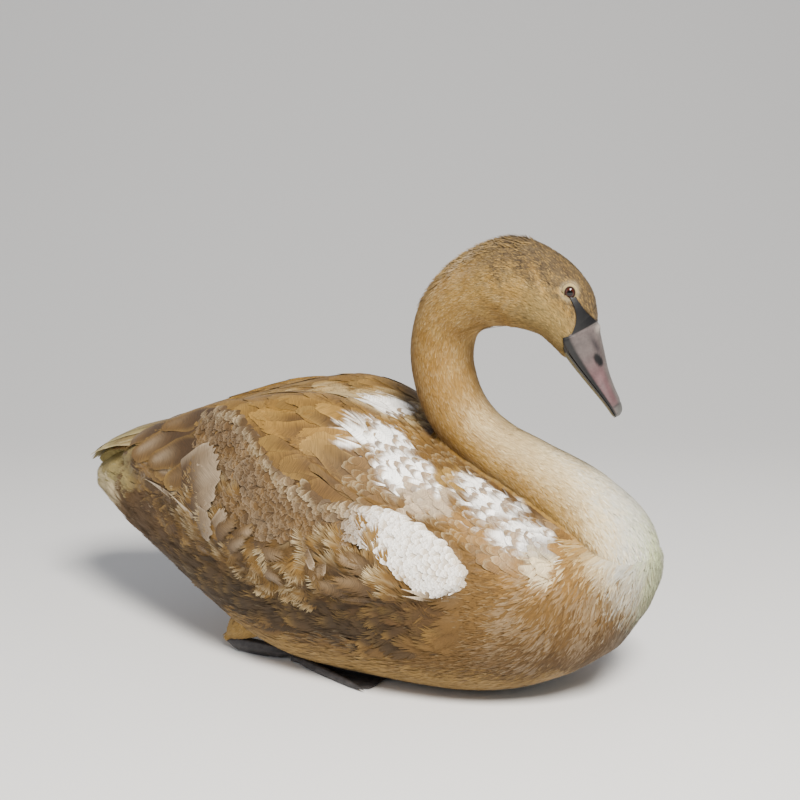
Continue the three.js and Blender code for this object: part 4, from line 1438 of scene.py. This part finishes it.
def face_sheet(t, round_):
    """The head's surface, continued past its front end by a rounded cuff that closes on the horn."""
    on = neck(np.minimum(t, SPANS), round_, -0.1)
    last = spine_rows(np.full(np.shape(t), float(SPANS)))
    k = np.clip(t - SPANS, 0, 1)[..., None] * np.pi / 2
    front = unit(np.cross(last[..., 9:12], last[..., 6:9]))
    drawn = (on - last[..., :3]) * (1 - CUFF_DRAWN * (1 - np.cos(k)))
    return last[..., :3] + drawn + front * CUFF_LENGTH * np.sin(k)


t = np.concatenate([np.linspace(12.6, SPANS, 110), np.linspace(SPANS + 0.08, SPANS + 1, 16)])[:, None]
round_ = np.linspace(0, 360, 300, endpoint=False)[None]
p = face_sheet(t + 0 * round_, round_ + 0 * t)
ahead, left, above = from_head(p)
black = smooth(BARE_FROM + 0.6, BARE_FROM - 0.6, ahead) + smooth(-17.5, -19.5, above)
horn = mix(ink("504745"), ink("5c5551"), smooth(-2, 6, above))
tone = mix(horn, ink("090809"), np.clip(black, 0, 1))
tone = tone * np.exp(0.12 * mottle(p, 6, 111))[..., None]
faces = grid_faces(len(t), round_.size, True)
kept = bare(p).ravel()[faces].all(1)
used, back = np.unique(faces[kept], return_inverse=True)
face = put_mesh("bare_face", p.reshape(-1, 3)[used], back.reshape(-1, 4), tone.reshape(-1, 3)[used])
finish_piece(face, HORN, "bill")
print("the bare face keeps", int(kept.sum()), "cells")

# %% The bill
# Places ahead of the head's middle, then heights above it and half widths there, all in mm
BILL_AHEAD = [30, 37, 41, 46, 52, 66, 84, 100, 114, 123, 127]
CULMEN = [5, 6.3, 6.4, 5.5, 4, 0.6, -3.8, -5.8, -6.6, -8.5, -13]
GAPE = [-24, -26.5, -27.3, -27.5, -27.5, -25.5, -22, -18.5, -16, -16, -16.5]
CHIN = [-31, -32, -32.7, -33.4, -34, -31.5, -27.5, -23.5, -20.5, -19.3, -18.8]
UPPER_HALF = [17, 21.6, 22, 20.2, 17.8, 16, 15, 15.6, 15, 10.5, 2]
LOWER_HALF = [9, 11, 12.3, 13.6, 15, 15.4, 15, 15.6, 15, 10.5, 2]
BILL_RINGS, BILL_ROUND = 120, 72  # cells along and round
BILL_FACES = grid_faces(BILL_RINGS, BILL_ROUND, True, True)


def bill_half(lower, upper, halves, round_top):
    """Half a bill: a ring at each step ahead, an arch on one side of the gape and nearly flat on the
    other, with the two ends drawn together."""
    last = len(BILL_AHEAD) - 1
    t = np.linspace(0, last, BILL_RINGS)[:, None]
    a = np.linspace(0, 2 * np.pi, BILL_ROUND, endpoint=False)[None]
    low, high = through(lower, t), through(upper, t)
    ends = np.sqrt(np.clip(np.minimum(t / 0.05, (last - t) / 0.12), 0.0004, 1))
    s = np.sin(a)
    if round_top:
        share = np.where(s > 0, s, 0.12 * s)
        height = low + (high - low) * np.maximum(share, share * 0.5 + 0.03)
    else:
        share = np.where(s < 0, s, 0.12 * s)
        height = high + (high - low) * np.minimum(share, share * 0.5 - 0.03)
    across = through(halves, t) * np.sign(np.cos(a)) * np.abs(np.cos(a)) ** 0.8 * ends
    return through(BILL_AHEAD, t) + 0 * a, across, height, s + 0 * t


def blot(ahead, above, at, reach, sharp=1.0):
    """An oval mark in profile: a bell curve of the distance, with a flat top where it is sharp."""
    distance = ((ahead - at[0]) / reach[0]) ** 2 + ((above - at[1]) / reach[1]) ** 2
    return np.exp(-(distance ** sharp))


ahead, left, above, s = bill_half([z + 0.2 for z in GAPE], CULMEN, UPPER_HALF, True)
nostril = blot(ahead, above, (69.5, -6.4), (7.2, 3.3), 6)
swelling = np.exp(-(((ahead - 43) / 3.2) ** 2)) * smooth(0.86, 1, s)
nail_rim = np.exp(-(((ahead - 115.5) / 1.2) ** 2)) * smooth(0.1, 0.4, s)
flush = smooth(56, 84, ahead) * smooth(126, 106, ahead) * smooth(1.0, 0.7, s)
marks = [
    ("52393b", 0.85 * flush),
    # Lighter along the ridge: a painted highlight.
    ("57514d", 0.6 * smooth(0.86, 1, s)),  # along the ridge
    # Pale on the swelling at the base of the ridge: a painted highlight.
    ("9a9086", 0.8 * swelling),
    ("262123", 0.85 * blot(ahead, above, (56, -2.6), (12, 2.2))),  # behind the nostril
    ("070606", smooth(0.28, 0.2, s)),  # along the gape
    ("060506", nostril),
    ("4d4d4a", 0.8 * smooth(114, 117, ahead) * smooth(0.2, 0.5, s)),  # the nail
    ("2a2626", 0.7 * nail_rim),
]
tone = ink("504745")
for code, share in marks:
    tone = mix(tone, ink(code), share)
above = above + 1.3 * swelling - 0.5 * nail_rim
left = left - np.sign(left) * (0.9 * nostril)
p = in_head(ahead, left, above)
tone = tone * np.exp(0.1 * mottle(p, 9, 112))[..., None]
upper = put_mesh("bill_upper_horn", p, BILL_FACES, tone)
ahead, left, above, s = bill_half(CHIN, [z - 0.2 for z in GAPE], LOWER_HALF, False)
p = in_head(ahead, left, above)
tone = mix(ink("201d1a"), ink("5a5238"), smooth(-0.1, -0.5, s) * smooth(-0.95, -0.6, s))
lower = put_mesh("bill_lower_horn", p, BILL_FACES, tone)
finish_piece(upper, HORN, "bill", "bill_upper")
finish_piece(lower, HORN, "bill", "bill_lower")
print("the bill is", BILL_AHEAD[-1] - BARE_FROM, "mm long from the feathers to its tip")

# %% [markdown]
# ## Feet
# The tucked feet and tarsi keep the solids' shape. Copies of them are welded by a fine remesh and
# smoothed, which rounds the joints, and get a scaly leather.

# %% Feet and tarsi
for word in ("left", "right"):
    nodes = ["foot_" + word, "tarsus_" + word]
    mesh = weld("foot_rough", nodes, 1.2, 0.5, 3)
    uneven = mottle(read(mesh.vertices, "co") / MM, 14, 131)
    made = put_object("webbed_foot_" + word, mesh, ink("3d3a3a") * np.exp(0.2 * uneven)[:, None])
    finish_piece(made, WEB, "foot", *nodes)
    print("foot", word, len(mesh.polygons), "faces")

# %% [markdown]
# ## Floor, light and camera
# A pale sweep, a large soft key from the front right, above, and a weak fill: the light of a studio
# that shows form without hard shadows.

# %% Floor: flat under the bird, curving up far behind it, in metres
AHEAD_OF_SIDE = 25.7  # degrees that the camera stands ahead of the bird's right side
FLOOR_FRONT, CURVE_FROM, CURVE_RADIUS, FLOOR_HALF = -2.0, 1.0, 2.5, 6
along = np.linspace(-1, 1, 80)[:, None]
across = np.linspace(-FLOOR_HALF, FLOOR_HALF, 2)[None]
flat = CURVE_FROM + (CURVE_FROM - FLOOR_FRONT) * along
depth = np.where(along < 0, flat, CURVE_FROM + CURVE_RADIUS * np.sin(np.pi / 2 * along))
height = np.where(along < 0, 0, CURVE_RADIUS * (1 - np.cos(np.pi / 2 * along)))
turn = np.radians(AHEAD_OF_SIDE)
back_way = np.array([-np.sin(turn), np.cos(turn), 0])
side_way = np.array([np.cos(turn), np.sin(turn), 0])
sweep = depth[..., None] * back_way + across[..., None] * side_way + height[..., None] * np.array([0, 0, 1])
floor = put_mesh("floor", sweep / MM, grid_faces(80, 2)[:, ::-1])
floor_paint, _, _ = plain("pale_floor", Base_Color=(0.72, 0.71, 0.70, 1), Roughness=0.85)
floor.data.materials.append(floor_paint)
print("the floor is", round(floor.dimensions.z, 1), "m high at its back")

# %% Soft studio light
world = bpy.data.worlds.new("studio")
bpy.context.scene.world = world
world.use_nodes = True
world.node_tree.nodes["Background"].inputs["Color"].default_value = (0.9, 0.93, 1.0, 1)
world.node_tree.nodes["Background"].inputs["Strength"].default_value = 0.38


def lamp(name, place, target, size, energy, tone):
    """A square soft box that looks at a point."""
    data = bpy.data.lights.new(name, "AREA")
    data.size = size
    data.energy = energy
    data.color = tone
    made = bpy.data.objects.new(name, data)
    made.location = place
    made.rotation_euler = (Vector(target) - Vector(place)).to_track_quat("-Z", "Y").to_euler()
    bpy.context.scene.collection.objects.link(made)
    print(name, "light of", energy, "watts")


lamp("key", (1.2, -1.35, 1.9), (0, 0, 0.2), 0.7, 175, (1.0, 0.97, 0.91))
lamp("fill", (-1.6, -2.2, 1.2), (0, 0, 0.2), 1.8, 20, (0.93, 0.96, 1.0))

# %% Camera
CAMERA_AT = Vector((0.6812, -1.3240, 0.5856))
CAMERA_LOOKS_AT = Vector((0.044, 0, 0.284))
camera_data = bpy.data.cameras.new("camera")
camera_data.sensor_width = 36
camera_data.lens = 64.9
camera = bpy.data.objects.new("camera", camera_data)
camera.location = CAMERA_AT
camera.rotation_euler = (CAMERA_LOOKS_AT - CAMERA_AT).to_track_quat("-Z", "Y").to_euler()
bpy.context.scene.collection.objects.link(camera)
bpy.context.scene.camera = camera
print("the camera stands", round((CAMERA_LOOKS_AT - CAMERA_AT).length, 2), "m from what it looks at")
